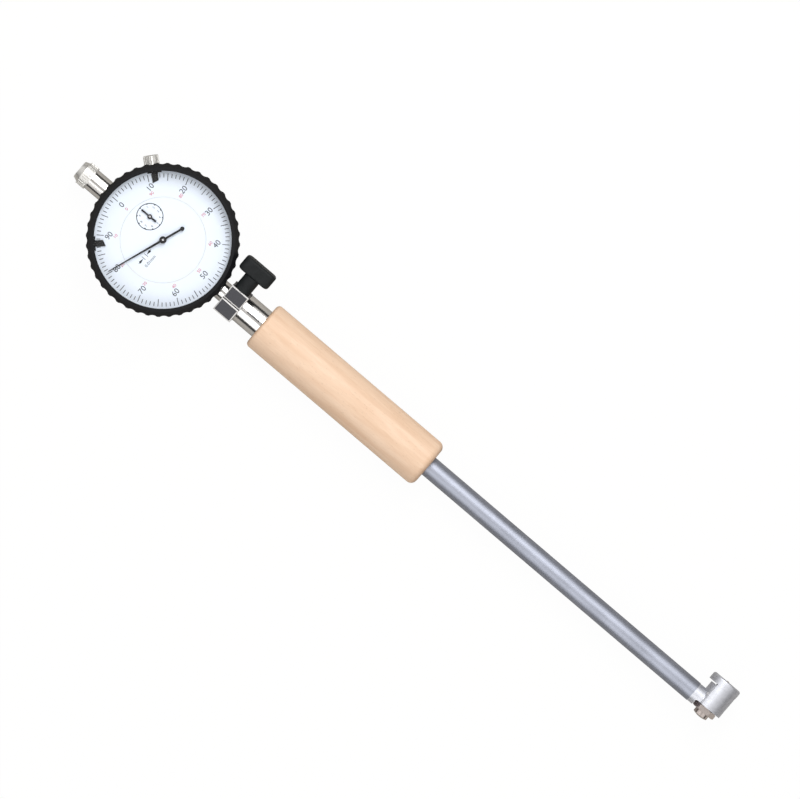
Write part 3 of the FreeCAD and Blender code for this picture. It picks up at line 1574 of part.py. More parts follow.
def export():
    """Check every object and write each piece to its own file."""
    for item in doc.Objects:
        if "Invalid" in item.State or "Error" in item.State:
            raise RuntimeError("failed: %s %s" % (item.Name, item.State))
    pieces = [
        item for item in doc.Objects
        if item.TypeId in ("PartDesign::Body", "Part::Feature")
    ]
    for item in pieces:
        if item.Shape.isNull() or not item.Shape.isValid():
            raise RuntimeError("bad shape: " + item.Label)
    for item in pieces:
        item.Shape.exportStep("parts/%s.step" % item.Label)
    print(len(pieces), "pieces written")


build()
export()
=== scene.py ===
import json
import math

import bpy
from mathutils import Matrix, Vector


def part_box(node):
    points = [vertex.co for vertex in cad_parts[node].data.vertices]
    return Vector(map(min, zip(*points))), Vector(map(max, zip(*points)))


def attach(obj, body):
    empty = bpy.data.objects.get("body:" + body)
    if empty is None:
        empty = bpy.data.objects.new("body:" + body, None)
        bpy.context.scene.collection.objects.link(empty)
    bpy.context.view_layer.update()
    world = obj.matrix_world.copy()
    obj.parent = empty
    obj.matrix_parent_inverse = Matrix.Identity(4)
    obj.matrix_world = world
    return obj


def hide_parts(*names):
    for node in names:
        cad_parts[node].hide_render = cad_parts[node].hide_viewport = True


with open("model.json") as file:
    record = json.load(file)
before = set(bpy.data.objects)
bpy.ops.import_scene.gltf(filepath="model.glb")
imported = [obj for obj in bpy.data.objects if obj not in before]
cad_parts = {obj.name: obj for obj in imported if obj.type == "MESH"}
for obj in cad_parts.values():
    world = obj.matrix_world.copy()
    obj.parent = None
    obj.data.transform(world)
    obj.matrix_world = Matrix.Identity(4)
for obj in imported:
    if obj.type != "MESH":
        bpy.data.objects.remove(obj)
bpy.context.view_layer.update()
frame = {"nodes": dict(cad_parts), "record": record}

bl_info = {
    "name": "Dial bore gauge",
    "version": (1, 0, 0),
    "blender": (4, 5, 0),
    "location": "View3D > Sidebar > Bore gauge",
    "description": "Dresses a dial bore gauge: its printed dial, screws, knurls and finishes",
    "category": "Object",
}

MM = 0.001


# ------------------------------------------------------------------------------------
# Places on the frame
# ------------------------------------------------------------------------------------

def top(node):
    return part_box(node)[1].z


def centre(node):
    low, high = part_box(node)
    return (low + high) / 2


DIAL_FACE = top("dial_ring")
SMALL_DIAL = centre("takeup_arbor")
TOOL_HEIGHT = centre("handle").z
HANDLE_LOW, HANDLE_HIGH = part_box("handle")
COVER_LOW, COVER_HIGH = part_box("back_cover")
SCREWS_LOW, SCREWS_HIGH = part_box("cover_screws")
CAP_LOW, CAP_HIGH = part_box("dust_cap")


def linear(red, green, blue):
    """A colour given in the usual 0 to 255 steps, as linear light."""
    def channel(step):
        share = step / 255
        return share / 12.92 if share <= 0.04045 else ((share + 0.055) / 1.055) ** 2.4
    return (channel(red), channel(green), channel(blue))


# ------------------------------------------------------------------------------------
# Sizes and colours that a user may change
# ------------------------------------------------------------------------------------

def length(name, description, millimetres):
    return bpy.props.FloatProperty(
        name=name, description=description, default=millimetres * MM, subtype="DISTANCE",
        unit="LENGTH", precision=5)


def colour(name, description, default):
    return bpy.props.FloatVectorProperty(
        name=name, description=description, default=default, subtype="COLOR", size=3,
        min=0.0, max=1.0)


class BoreGaugeSizes(bpy.types.PropertyGroup):
    ink: length("Ink", "Thickness of the printed ink", 0.02)
    division_outer: length("Division end", "Outer end of the divisions", 25.6)
    division_inner: length("Division start", "Inner end of a single division", 24.05)
    fifth_inner: length("Fifth start", "Inner end of every fifth division", 22.85)
    division_width: length("Division width", "Width of a printed division", 0.26)
    numeral_circle: length("Numeral circle", "Radius that the numerals stand on", 20.8)
    numeral_height: length("Numeral height", "Height of the numerals", 2.25)
    counter_circle: length("Counter circle", "Radius of the counter numerals", 18.3)
    counter_height: length("Counter height", "Height of the counter numerals", 1.3)
    small_circle: length("Small circle", "Radius of the small dial's ring", 5.25)
    small_numeral_circle: length("Small numerals", "Radius of the small numerals", 3.8)
    small_numeral_height: length("Small height", "Height of the small numerals", 0.9)
    mark_across: length("Mark place", "Place of the unit mark across the dial", -9.4)
    mark_up: length("Mark height", "Place of the unit mark up the dial", 1.1)
    mark_gap: length("Mark gap", "Gap between the unit mark's bars", 1.5)
    unit_drop: length("Unit drop", "Place of the unit under its mark", 2.7)
    unit_height: length("Unit height", "Height of the unit's digits", 1.25)
    slot_width: length("Slot width", "Width of a screw's slot", 0.45)
    slot_depth: length("Slot depth", "Depth of a screw's slot", 0.35)


class BoreGaugeColours(bpy.types.PropertyGroup):
    enamel: colour("Dial", "The dial's white enamel", linear(231, 239, 250))
    black_ink: colour("Black ink", "Ink of the divisions and numerals", linear(26, 28, 34))
    red_ink: colour("Red ink", "Ink of the counter numerals", linear(196, 84, 104))
    bezel: colour("Bezel", "Paint of the bezel and the markers", linear(19, 19, 21))
    knob: colour("Knob", "Moulded clamp knob", linear(27, 29, 30))
    beech: colour("Beech", "Pale wood of the handle", linear(228, 198, 171))
    grain: colour("Grain", "Darker grain of the handle", linear(205, 164, 128))
    steel: colour("Steel", "Satin steel of the probe", linear(160, 164, 176))
    chrome: colour("Chrome", "Polished plating", linear(214, 212, 210))
    head: colour("Head", "Blasted steel of the measuring head", linear(205, 207, 214))
    clamp: colour("Clamp", "Dark faces of the clamp", linear(76, 76, 80))
    brass: colour("Brass", "Brass of the movement", linear(214, 178, 104))


def sizes():
    return bpy.context.scene.bore_gauge_sizes


def colours():
    return bpy.context.scene.bore_gauge_colours


# ------------------------------------------------------------------------------------
# Shader maths
# ------------------------------------------------------------------------------------

class Value:
    """A node's output, so that shader maths reads as plain expressions."""

    def __init__(self, shader, socket):
        self.shader = shader
        self.socket = socket

    def maths(self, operation, *terms):
        return self.shader.node("ShaderNodeMath", {"operation": operation}, terms)

    def __add__(self, other):
        return self.maths("ADD", self, other)

    def __sub__(self, other):
        return self.maths("SUBTRACT", self, other)

    def __mul__(self, other):
        return self.maths("MULTIPLY", self, other)

    def __truediv__(self, other):
        return self.maths("DIVIDE", self, other)

    def __pow__(self, other):
        return self.maths("POWER", self, other)

    def __rsub__(self, other):
        return self.maths("SUBTRACT", other, self)

    def __rtruediv__(self, other):
        return self.maths("DIVIDE", other, self)

    __radd__ = __add__
    __rmul__ = __mul__

    def above(self, limit):
        return self.maths("GREATER_THAN", self, limit)

    def below(self, limit):
        return self.maths("LESS_THAN", self, limit)

    def wave(self):
        return self.maths("SINE", self)

    def between(self, low, high):
        """Nothing at low, one at high and smooth from one to the other."""
        return self.shader.node(
            "ShaderNodeMapRange",
            {"interpolation_type": "SMOOTHSTEP"},
            {"Value": self, "From Min": low, "From Max": high},
        )


class Shader:
    """A material on a Principled BSDF, with its nodes made one way."""

    def __init__(self, name, base, metallic, roughness, **constants):
        self.material = bpy.data.materials.new(name)
        self.material.use_nodes = True
        self.tree = self.material.node_tree
        self.surface = self.tree.nodes["Principled BSDF"]
        self.feed("Base Color", base)
        self.feed("Metallic", metallic)
        self.feed("Roughness", roughness)
        for socket, number in constants.items():
            self.feed(socket.replace("_", " ").title().replace("Ior", "IOR"), number)

    def link(self, socket, value):
        if isinstance(value, Value):
            self.tree.links.new(value.socket, socket)
        elif socket.type == "RGBA" and len(value) == 3:
            socket.default_value = (*value, 1.0)
        else:
            socket.default_value = value

    def node(self, kind, settings=None, inputs=(), output=0):
        """A node of a type with its settings, and the values or links of its sockets."""
        node = self.tree.nodes.new(kind)
        for setting, choice in (settings or {}).items():
            setattr(node, setting, choice)
        named = inputs.items() if isinstance(inputs, dict) else enumerate(inputs)
        for name, value in named:
            self.link(node.inputs[name], value)
        return Value(self, node.outputs[output])

    def feed(self, socket, value):
        self.link(self.surface.inputs[socket], value)

    def place(self, stretch=(1, 1, 1), turn=(0, 0, 0), move=(0, 0, 0)):
        """Object coordinates in millimetres from a point, turned and then stretched."""
        spot = self.node("ShaderNodeTexCoord", output="Object")
        moved = self.node(
            "ShaderNodeMapping", {"vector_type": "TEXTURE"},
            {"Vector": spot, "Location": move, "Rotation": turn, "Scale": (MM, MM, MM)})
        return self.node("ShaderNodeMapping", None, {"Vector": moved, "Scale": stretch})

    def parts(self, vector):
        split = self.node("ShaderNodeSeparateXYZ", None, [vector])
        outputs = split.socket.node.outputs
        return [Value(self, outputs[index]) for index in range(3)]

    def noise(self, scale, detail=2.0, roughness=0.5, **place):
        return self.node(
            "ShaderNodeTexNoise", None,
            {"Vector": self.place(**place), "Scale": scale, "Detail": detail,
             "Roughness": roughness})

    def mix(self, factor, first, second):
        """A colour between two others."""
        return self.node(
            "ShaderNodeMix", {"data_type": "RGBA"},
            {0: factor, 6: first, 7: second}, output=2)

    def bump(self, height, distance, strength=1.0):
        """Surface relief, with its height in millimetres."""
        relief = self.node(
            "ShaderNodeBump", None,
            {"Height": height, "Distance": distance * MM, "Strength": strength})
        self.feed("Normal", relief)


def shade(tint, share):
    """A colour made darker or lighter by a share."""
    return tuple(channel * share for channel in tint)


# ------------------------------------------------------------------------------------
# Finishes
# ------------------------------------------------------------------------------------

def beech():
    """Turned beech: long soft grain, short dark rays and slightly burnished ends."""
    tint = colours()
    wood = Shader("beech", tint.beech[:], 0.0, 0.5, coat_roughness=0.35, coat_weight=0.12)
    figure = wood.noise(0.35, 3.0, 0.55, stretch=(1, 0.08, 1)).between(0.35, 0.7)
    fibre = wood.noise(3.2, 4.0, 0.6, stretch=(1, 0.06, 1)).between(0.3, 0.75)
    rays = wood.noise(2.6, 1.0, 0.4, stretch=(1, 0.32, 1)).between(0.66, 0.74)
    along = wood.parts(wood.place())[1]
    lower_end = along.between(HANDLE_LOW.y / MM + 1.6, HANDLE_LOW.y / MM)
    upper_end = along.between(HANDLE_HIGH.y / MM - 1.0, HANDLE_HIGH.y / MM)
    pale = wood.mix(figure * 0.45, tint.beech[:], tint.grain[:])
    fibred = wood.mix(fibre * 0.22, pale, shade(tint.grain, 0.9))
    flecked = wood.mix(rays * 0.25, fibred, shade(tint.grain, 0.62))
    wood.feed("Base Color", wood.mix((lower_end + upper_end) * 0.55, flecked, shade(tint.grain, 0.75)))
    wood.feed("Roughness", 0.44 + fibre * 0.12 + rays * 0.1)
    wood.bump(fibre * -0.5 - rays, 0.012, 0.6)
    return wood.material


def satin_black():
    """Baked black paint with a fine orange peel."""
    paint = Shader("satin_black", colours().bezel[:], 0.0, 0.45, specular_ior_level=0.12)
    peel = paint.noise(5.0, 2.0)
    dust = paint.noise(0.7, 3.0).between(0.45, 0.75)
    paint.feed("Base Color", paint.mix(dust * 0.4, colours().bezel[:], shade(colours().bezel, 1.7)))
    paint.feed("Roughness", 0.38 + dust * 0.12)
    paint.bump(peel, 0.006)
    return paint.material


def moulded_black():
    """Glass-filled plastic with a fine matt skin."""
    plastic = Shader("moulded_black", colours().knob[:], 0.0, 0.55, specular_ior_level=0.15)
    skin = plastic.noise(7.0, 3.0, 0.6)
    cloud = plastic.noise(0.5, 2.0).between(0.35, 0.7)
    plastic.feed("Base Color", plastic.mix(cloud * 0.5, colours().knob[:], shade(colours().knob, 1.5)))
    plastic.feed("Roughness", 0.48 + skin * 0.16)
    plastic.bump(skin, 0.02)
    return plastic.material


def dial_enamel():
    enamel = Shader("dial_enamel", colours().enamel[:], 0.0, 0.5, specular_ior_level=0.2)
    cloud = enamel.noise(0.25, 2.0).between(0.3, 0.7)
    enamel.feed("Base Color", enamel.mix(cloud * 0.5, colours().enamel[:], shade(colours().enamel, 0.985)))
    enamel.feed("Roughness", 0.46 + cloud * 0.06)
    return enamel.material


def printed(name, tint):
    """Matt printing ink, a little uneven."""
    ink = Shader(name, tint, 0.0, 0.6, specular_ior_level=0.1)
    speckle = ink.noise(6.0, 2.0).between(0.4, 0.8)
    ink.feed("Base Color", ink.mix(speckle * 0.3, tint, shade(tint, 1.3)))
    ink.feed("Roughness", 0.55 + speckle * 0.1)
    return ink.material


def clear_crystal():
    """A thin clear shell, seen only by what it reflects."""
    glass = Shader("clear_crystal", (1.0, 1.0, 1.0), 1.0, 0.03, alpha=0.02)
    haze = glass.noise(0.12, 2.0).between(0.4, 0.7)
    glass.feed("Roughness", 0.02 + haze * 0.02)
    glass.material.surface_render_method = "BLENDED"
    return glass.material


def polished_plate():
    """Plated and polished after turning, so faint rings run round the tool axis."""
    plate = Shader("polished_plate", colours().chrome[:], 1.0, 0.13)
    rings = plate.noise(1.0, 3.0, 0.6, stretch=(0.05, 9.0, 0.05))
    cloud = plate.noise(0.3, 2.0).between(0.35, 0.7)
    plate.feed("Base Color", plate.mix(cloud * 0.5, colours().chrome[:], shade(colours().chrome, 0.9)))
    plate.feed("Roughness", 0.1 + rings * 0.08)
    plate.bump(rings, 0.003)
    return plate.material


def knurled_plate():
    """Satin plating over fine knurling, paler than the polished pieces."""
    plate = Shader("knurled_plate", linear(222, 221, 218), 1.0, 0.4)
    across, along, up = plate.parts(plate.place(move=(0, 0, TOOL_HEIGHT)))
    grit = plate.noise(4.0, 3.0, 0.6)
    weave = ((across + along) * 9.0).wave() * ((across - along) * 9.0).wave() * 0.5 + 0.5
    plate.feed("Base Color", plate.mix(weave * 0.5, linear(226, 225, 222), linear(186, 185, 182)))
    plate.feed("Roughness", 0.36 + grit * 0.16)
    plate.bump(weave, 0.02, 0.6)
    return plate.material


def satin_probe():
    """Drawn and ground steel tube: fine rings and a slightly uneven grey."""
    tube = Shader("satin_probe", colours().steel[:], 1.0, 0.36)
    rings = tube.noise(1.0, 4.0, 0.65, stretch=(0.25, 7.0, 0.25))
    cloud = tube.noise(0.22, 3.0, stretch=(1, 0.35, 1)).between(0.3, 0.75)
    tube.feed("Base Color", tube.mix(cloud, colours().steel[:], shade(colours().steel, 0.86)))
    tube.feed("Roughness", 0.42 + rings * 0.14)
    tube.bump(rings, 0.005)
    return tube.material


def blasted_head():
    """Cast and bead-blasted steel."""
    head = Shader("blasted_head", colours().head[:], 1.0, 0.4)
    grit = head.noise(4.5, 4.0, 0.65)
    cloud = head.noise(0.45, 2.0).between(0.35, 0.7)
    head.feed("Base Color", head.mix(cloud * 0.6, colours().head[:], shade(colours().head, 0.88)))
    head.feed("Roughness", 0.44 + grit * 0.16)
    head.bump(grit, 0.014)
    return head.material


def lapped_steel():
    """Hardened and lapped contact faces, nut and screws, with a slight warm tint that is a painted
    reflection of warm surroundings.
    """
    # The warm tint in these steel greys is a painted reflection of warm surroundings
    face = Shader("lapped_steel", linear(206, 196, 192), 1.0, 0.2)
    scratch = face.noise(3.0, 3.0, 0.6, stretch=(1, 1, 0.15))
    face.feed("Base Color", face.mix(scratch * 0.4, linear(210, 200, 196), linear(180, 170, 166)))
    face.feed("Roughness", 0.12 + scratch * 0.18)
    face.bump(scratch, 0.004)
    return face.material


def clamp_steel():
    """Darkened steel whose chamfered ear rims are ground bright, and painted as a near-white, almost
    non-metallic highlight.
    """
    tint = colours()
    clamp_axis = (0, 0, TOOL_HEIGHT)
    steel = Shader("clamp_steel", tint.clamp[:], 0.85, 0.32)
    height = steel.parts(steel.place(turn=(0, math.radians(-9), 0), move=clamp_axis))[2]
    # Mask of the chamfered ear rims: partly bright ground steel, partly a painted highlight that looks lit
    # from any side
    ground_rim_and_highlight = height.between(10.86, 10.94) * (1 - height.between(11.34, 11.39))
    grit = steel.noise(3.0, 4.0, 0.6)
    faces = steel.mix(grit * 0.5, tint.clamp[:], shade(tint.clamp, 0.7))
    # The rims take a near-white, almost non-metallic colour: a painted highlight
    steel.feed("Base Color", steel.mix(ground_rim_and_highlight, faces, linear(228, 226, 224)))
    steel.feed("Metallic", 0.85 - ground_rim_and_highlight * 0.75)
    steel.feed("Roughness", 0.26 + grit * 0.14)
    steel.bump(grit, 0.006)
    return steel.material


def machined_brass():
    brass = Shader("machined_brass", colours().brass[:], 1.0, 0.28)
    lines = brass.noise(1.0, 3.0, 0.6, stretch=(6.0, 0.3, 1.0))
    brass.feed("Base Color", brass.mix(lines * 0.5, colours().brass[:], shade(colours().brass, 0.82)))
    brass.feed("Roughness", 0.2 + lines * 0.16)
    brass.bump(lines, 0.003)
    return brass.material


def fine_steel(name, tint):
    """Small turned and drawn steel pieces."""
    steel = Shader(name, tint, 1.0, 0.3)
    lines = steel.noise(4.0, 3.0, 0.6)
    steel.feed("Base Color", steel.mix(lines * 0.5, tint, shade(tint, 0.8)))
    steel.feed("Roughness", 0.22 + lines * 0.16)
    steel.bump(lines, 0.003)
    return steel.material


def turned_case():
    """The case and its back, faced on a lathe: fine circles about the dial's axis."""
    case = Shader("turned_case", linear(198, 199, 203), 1.0, 0.3)
    across, along, up = case.parts(case.place())
    radius = (across * across + along * along) ** 0.5
    circles = (radius * 22.0).wave() * 0.5 + 0.5
    cloud = case.noise(0.2, 3.0).between(0.35, 0.7)
    case.feed("Base Color", case.mix(cloud * 0.5, linear(200, 201, 205), linear(176, 177, 182)))
    case.feed("Roughness", 0.26 + circles * 0.06 + cloud * 0.05)
    case.bump(circles, 0.002)
    return case.material


def pointer_paint():
    paint = Shader("pointer_paint", linear(20, 21, 24), 0.0, 0.4, specular_ior_level=0.12)
    speckle = paint.noise(5.0, 2.0)
    paint.feed("Base Color", paint.mix(speckle * 0.4, linear(17, 18, 21), linear(30, 31, 34)))
    paint.feed("Roughness", 0.34 + speckle * 0.12)
    paint.bump(speckle, 0.002)
    return paint.material


# ------------------------------------------------------------------------------------
# Making pieces
# ------------------------------------------------------------------------------------

def deselect():
    if bpy.context.object and bpy.context.object.mode != "OBJECT":
        bpy.ops.object.mode_set(mode="OBJECT")
    bpy.ops.object.select_all(action="DESELECT")


def only(piece):
    deselect()
    piece.select_set(True)
    bpy.context.view_layer.objects.active = piece


def settle(piece, name):
    """Name a piece and put its place, turn and scale into its mesh."""
    only(piece)
    bpy.ops.object.transform_apply(location=True, rotation=True, scale=True)
    piece.name = name
    piece.data.name = name
    return piece


def join(pieces, name):
    deselect()
    for piece in pieces:
        piece.select_set(True)
    bpy.context.view_layer.objects.active = pieces[0]
    bpy.ops.object.join()
    return settle(bpy.context.object, name)


def dress(piece, body, material):
    """Give a piece its finish and the body that it moves with."""
    piece.data.materials.clear()
    piece.data.materials.append(material)
    for polygon in piece.data.polygons:
        polygon.material_index = 0
    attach(piece, body)
    return piece


def finish(name):
    """The material of a name, made the first time that it is asked for."""
    made = bpy.data.materials.get(name)
    if made:
        return made
    makers = {
        "black_print": lambda: printed("black_print", colours().black_ink[:]),
        "red_print": lambda: printed("red_print", colours().red_ink[:]),
        "lapped_steel": lapped_steel,
    }
    return makers[name]()


def bar(left, right, low, high, bottom, thickness):
    """A thin flat printed bar between two places across, two along and up from a height."""
    deselect()
    middle = Vector(((left + right) / 2, (low + high) / 2, bottom + thickness / 2))
    bpy.ops.mesh.primitive_cube_add(size=1, location=middle)
    piece = bpy.context.object
    piece.scale = (right - left, high - low, thickness)
    settle(piece, "bar")
    return piece


def repeat_round(piece, count, middle=Vector()):
    """Copy a piece's mesh evenly round the dial's axis, as a step of its own mesh."""
    only(piece)
    bpy.ops.object.mode_set(mode="EDIT")
    bpy.ops.mesh.select_all(action="SELECT")
    bpy.ops.mesh.spin(
        steps=count - 1, dupli=True, angle=2 * math.pi * (count - 1) / count,
        center=middle, axis=(0, 0, 1))
    bpy.ops.object.mode_set(mode="OBJECT")
    return piece


def lettering(text, height, place, ink):
    """Printed figures, centred on a place, with digits of a height."""
    deselect()
    bpy.ops.object.text_add(location=place)
    letters = bpy.context.object
    letters.data.body = text
    letters.data.size = height / DIGIT_SHARE
    letters.data.align_x = "CENTER"
    letters.data.align_y = "CENTER"
    letters.data.resolution_u = 4
    letters.data.extrude = ink / 2
    bpy.ops.object.convert(target="MESH")
    bpy.ops.object.mode_set(mode="EDIT")
    bpy.ops.mesh.select_all(action="SELECT")
    bpy.ops.mesh.remove_doubles(threshold=0.001 * MM)
    bpy.ops.object.mode_set(mode="OBJECT")
    return settle(bpy.context.object, "figures")


DIGIT_SHARE = 0.729


def round_dial(angle, radius, centre_point=Vector((0, 0, 0))):
    """A place on the dial, by its clockwise angle from twelve o'clock."""
    turn = math.radians(angle)
    return centre_point + Vector((radius * math.sin(turn), radius * math.cos(turn), 0))


# ------------------------------------------------------------------------------------
# Operators
# ------------------------------------------------------------------------------------

class BORE_OT_stage(bpy.types.Operator):
    """Make the camera, the floor, the soft lamps and the white surroundings"""
    bl_idname = "bore_gauge.stage"
    bl_label = "Stage"

    lean: bpy.props.FloatProperty(
        name="Lean", description="Turn of the gauge in the picture", default=math.radians(40.4),
        subtype="ANGLE")
    distance: bpy.props.FloatProperty(
        name="Distance", description="Camera above the gauge", default=4.0, unit="LENGTH")
    width: bpy.props.FloatProperty(
        name="Width", description="Width of the picture at the gauge", default=0.3083, unit="LENGTH")

    def camera(self):
        aim = Vector((12.35 * MM, -109.15 * MM, TOOL_HEIGHT))
        lens = bpy.data.cameras.new("camera")
        camera = bpy.data.objects.new("camera", lens)
        bpy.context.scene.collection.objects.link(camera)
        right = Vector((math.sin(self.lean), -math.cos(self.lean), 0))
        up = Vector((math.cos(self.lean), math.sin(self.lean), 0))
        turn = Matrix((right, up, Vector((0, 0, 1)))).transposed()
        camera.matrix_world = Matrix.Translation(aim + Vector((0, 0, self.distance))) @ turn.to_4x4()
        lens.lens = lens.sensor_width * self.distance / self.width
        lens.clip_start = 0.01
        lens.clip_end = 20
        bpy.context.scene.camera = camera

    def floor(self):
        deselect()
        bpy.ops.mesh.primitive_plane_add(size=8, location=(0, -0.12, 0))
        floor = bpy.context.object
        settle(floor, "floor")
        pale = bpy.data.materials.new("pale_floor")
        pale.use_nodes = True
        tree = pale.node_tree
        surface = tree.nodes["Principled BSDF"]
        surface.inputs["Base Color"].default_value = (0.46, 0.44, 0.41, 1)
        surface.inputs["Roughness"].default_value = 0.9
        surface.inputs["Specular IOR Level"].default_value = 0.0
        light_path = tree.nodes.new("ShaderNodeLightPath")
        white = tree.nodes.new("ShaderNodeEmission")
        share = tree.nodes.new("ShaderNodeMath")
        share.operation = "MULTIPLY"
        share.inputs[1].default_value = 0.94
        white.inputs["Strength"].default_value = 1.03
        blend = tree.nodes.new("ShaderNodeMixShader")
        tree.links.new(light_path.outputs["Is Camera Ray"], share.inputs[0])
        tree.links.new(share.outputs[0], blend.inputs[0])
        tree.links.new(surface.outputs[0], blend.inputs[1])
        tree.links.new(white.outputs[0], blend.inputs[2])
        tree.links.new(blend.outputs[0], tree.nodes["Material Output"].inputs[0])
        floor.data.materials.append(pale)

    def lamp(self, name, place, size, power):
        light = bpy.data.lights.new(name, "AREA")
        light.shape = "RECTANGLE"
        light.size, light.size_y = size
        light.energy = power
        lamp = bpy.data.objects.new(name, light)
        bpy.context.scene.collection.objects.link(lamp)
        aim = Vector((0, -0.12, 0))
        lamp.location = place
        lamp.rotation_mode = "QUATERNION"
        lamp.rotation_quaternion = (aim - Vector(place)).to_track_quat("-Z", "Y")

    def surroundings(self):
        """White to the eye; to shiny metal, a bright ceiling over a dim band of walls."""
        world = bpy.data.worlds.new("surroundings")
        bpy.context.scene.world = world
        world.use_nodes = True
        tree = world.node_tree
        tree.nodes.clear()
        output = tree.nodes.new("ShaderNodeOutputWorld")
        spot = tree.nodes.new("ShaderNodeTexCoord")
        split = tree.nodes.new("ShaderNodeSeparateXYZ")
        ramp = tree.nodes.new("ShaderNodeValToRGB")
        room = tree.nodes.new("ShaderNodeBackground")
        plain = tree.nodes.new("ShaderNodeBackground")
        light_path = tree.nodes.new("ShaderNodeLightPath")
        by_metal = tree.nodes.new("ShaderNodeMixShader")
        by_eye = tree.nodes.new("ShaderNodeMixShader")
        white = tree.nodes.new("ShaderNodeBackground")
        stops = ((0.0, 0.24), (0.08, 0.05), (0.34, 0.06), (0.46, 0.85), (0.9, 0.95), (1.0, 0.6))
        elements = ramp.color_ramp.elements
        while len(elements) < len(stops):
            elements.new(0.5)
        for element, (position, grey) in zip(elements, stops):
            element.position = position
            element.color = (grey, grey * 0.98, grey * 0.96, 1)
        plain.inputs["Strength"].default_value = 0.6
        tree.links.new(spot.outputs["Generated"], split.inputs[0])
        tree.links.new(split.outputs["Z"], ramp.inputs[0])
        tree.links.new(ramp.outputs[0], room.inputs["Color"])
        for background in (plain, white):
            background.inputs["Color"].default_value = (1, 1, 1, 1)
        tree.links.new(light_path.outputs["Is Glossy Ray"], by_metal.inputs[0])
        tree.links.new(plain.outputs[0], by_metal.inputs[1])
        tree.links.new(room.outputs[0], by_metal.inputs[2])
        tree.links.new(light_path.outputs["Is Camera Ray"], by_eye.inputs[0])
        tree.links.new(by_metal.outputs[0], by_eye.inputs[1])
        tree.links.new(white.outputs[0], by_eye.inputs[2])
        tree.links.new(by_eye.outputs[0], output.inputs[0])

    def execute(self, context):
        context.scene.view_settings.view_transform = "Standard"
        self.camera()
        self.floor()
        self.lamp("key", (0.55, 0.1, 0.9), (0.4, 0.9), 8.0)
        self.lamp("fill", (-0.7, -0.3, 0.8), (0.7, 0.9), 3.0)
        self.surroundings()
        return {"FINISHED"}


class BORE_OT_finishes(bpy.types.Operator):
    """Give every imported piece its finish"""
    bl_idname = "bore_gauge.finishes"
    bl_label = "Finishes"

    def execute(self, context):
        black = satin_black()
        plate = polished_plate()
        small_steel = fine_steel("small_steel", linear(196, 196, 200))
        enamel = dial_enamel()
        finishes = {
            "black_finish": black,
            "black_plastic": moulded_black(),
            "dial_white": enamel,
            "clear_glass": clear_crystal(),
            "case_steel": turned_case(),
            "polished_chrome": plate,
            "satin_steel": satin_probe(),
            "head_steel": blasted_head(),
            "clamp_grey": clamp_steel(),
            "beech": beech(),
            "movement_brass": machined_brass(),
            "movement_steel": small_steel,
            "pointer_black": pointer_paint(),
            "spring_steel": fine_steel("spring_wire", linear(150, 152, 158)),
            "hard_ball": lapped_steel(),
        }
        slots = {entry["node"]: entry["material_slot"] for entry in frame["record"]["subparts"]}
        for node, piece in frame["nodes"].items():
            material = finishes[slots[node]]
            for index in range(len(piece.material_slots)):
                piece.material_slots[index].material = material
        for node in ("lock_nut", "fixed_anvil", "movable_anvil"):
            frame["nodes"][node].material_slots[0].material = finishes["hard_ball"]
        knurled = knurled_plate()
        for node in ("dust_cap", "bezel_lock_screw"):
            frame["nodes"][node].material_slots[0].material = knurled
        return {"FINISHED"}


class BORE_OT_divisions(bpy.types.Operator):
    """Print the hundred divisions on the turning dial"""
    bl_idname = "bore_gauge.divisions"
    bl_label = "Divisions"

    def execute(self, context):
        size = sizes()
        half = size.division_width / 2
        single = bar(-half, half, size.division_inner, size.division_outer, DIAL_FACE, size.ink)
        fifth = bar(-half, half, size.fifth_inner, size.division_inner, DIAL_FACE, size.ink)
        repeat_round(single, 100)
        repeat_round(fifth, 20)
        divisions = join([single, fifth], "dial_divisions")
        dress(divisions, "bezel", finish("black_print"))
        return {"FINISHED"}


class BORE_OT_numerals(bpy.types.Operator):
    """Print the two rings of numerals, which count opposite ways"""
    bl_idname = "bore_gauge.numerals"
    bl_label = "Numerals"

    def execute(self, context):
        size = sizes()
        height = Vector((0, 0, DIAL_FACE + size.ink / 2))
        rings = (
            ("dial_numerals", size.numeral_circle, size.numeral_height, 1, "black_print"),
            ("counter_numerals", size.counter_circle, size.counter_height, -1, "red_print"),
        )
        for name, radius, tall, direction, ink in rings:
            figures = [
                lettering(str(10 * (direction * ten % 10)), tall,
                          round_dial(36 * ten, radius) + height, size.ink)
                for ten in range(10)
            ]
            dress(join(figures, name), "bezel", finish(ink))
        return {"FINISHED"}


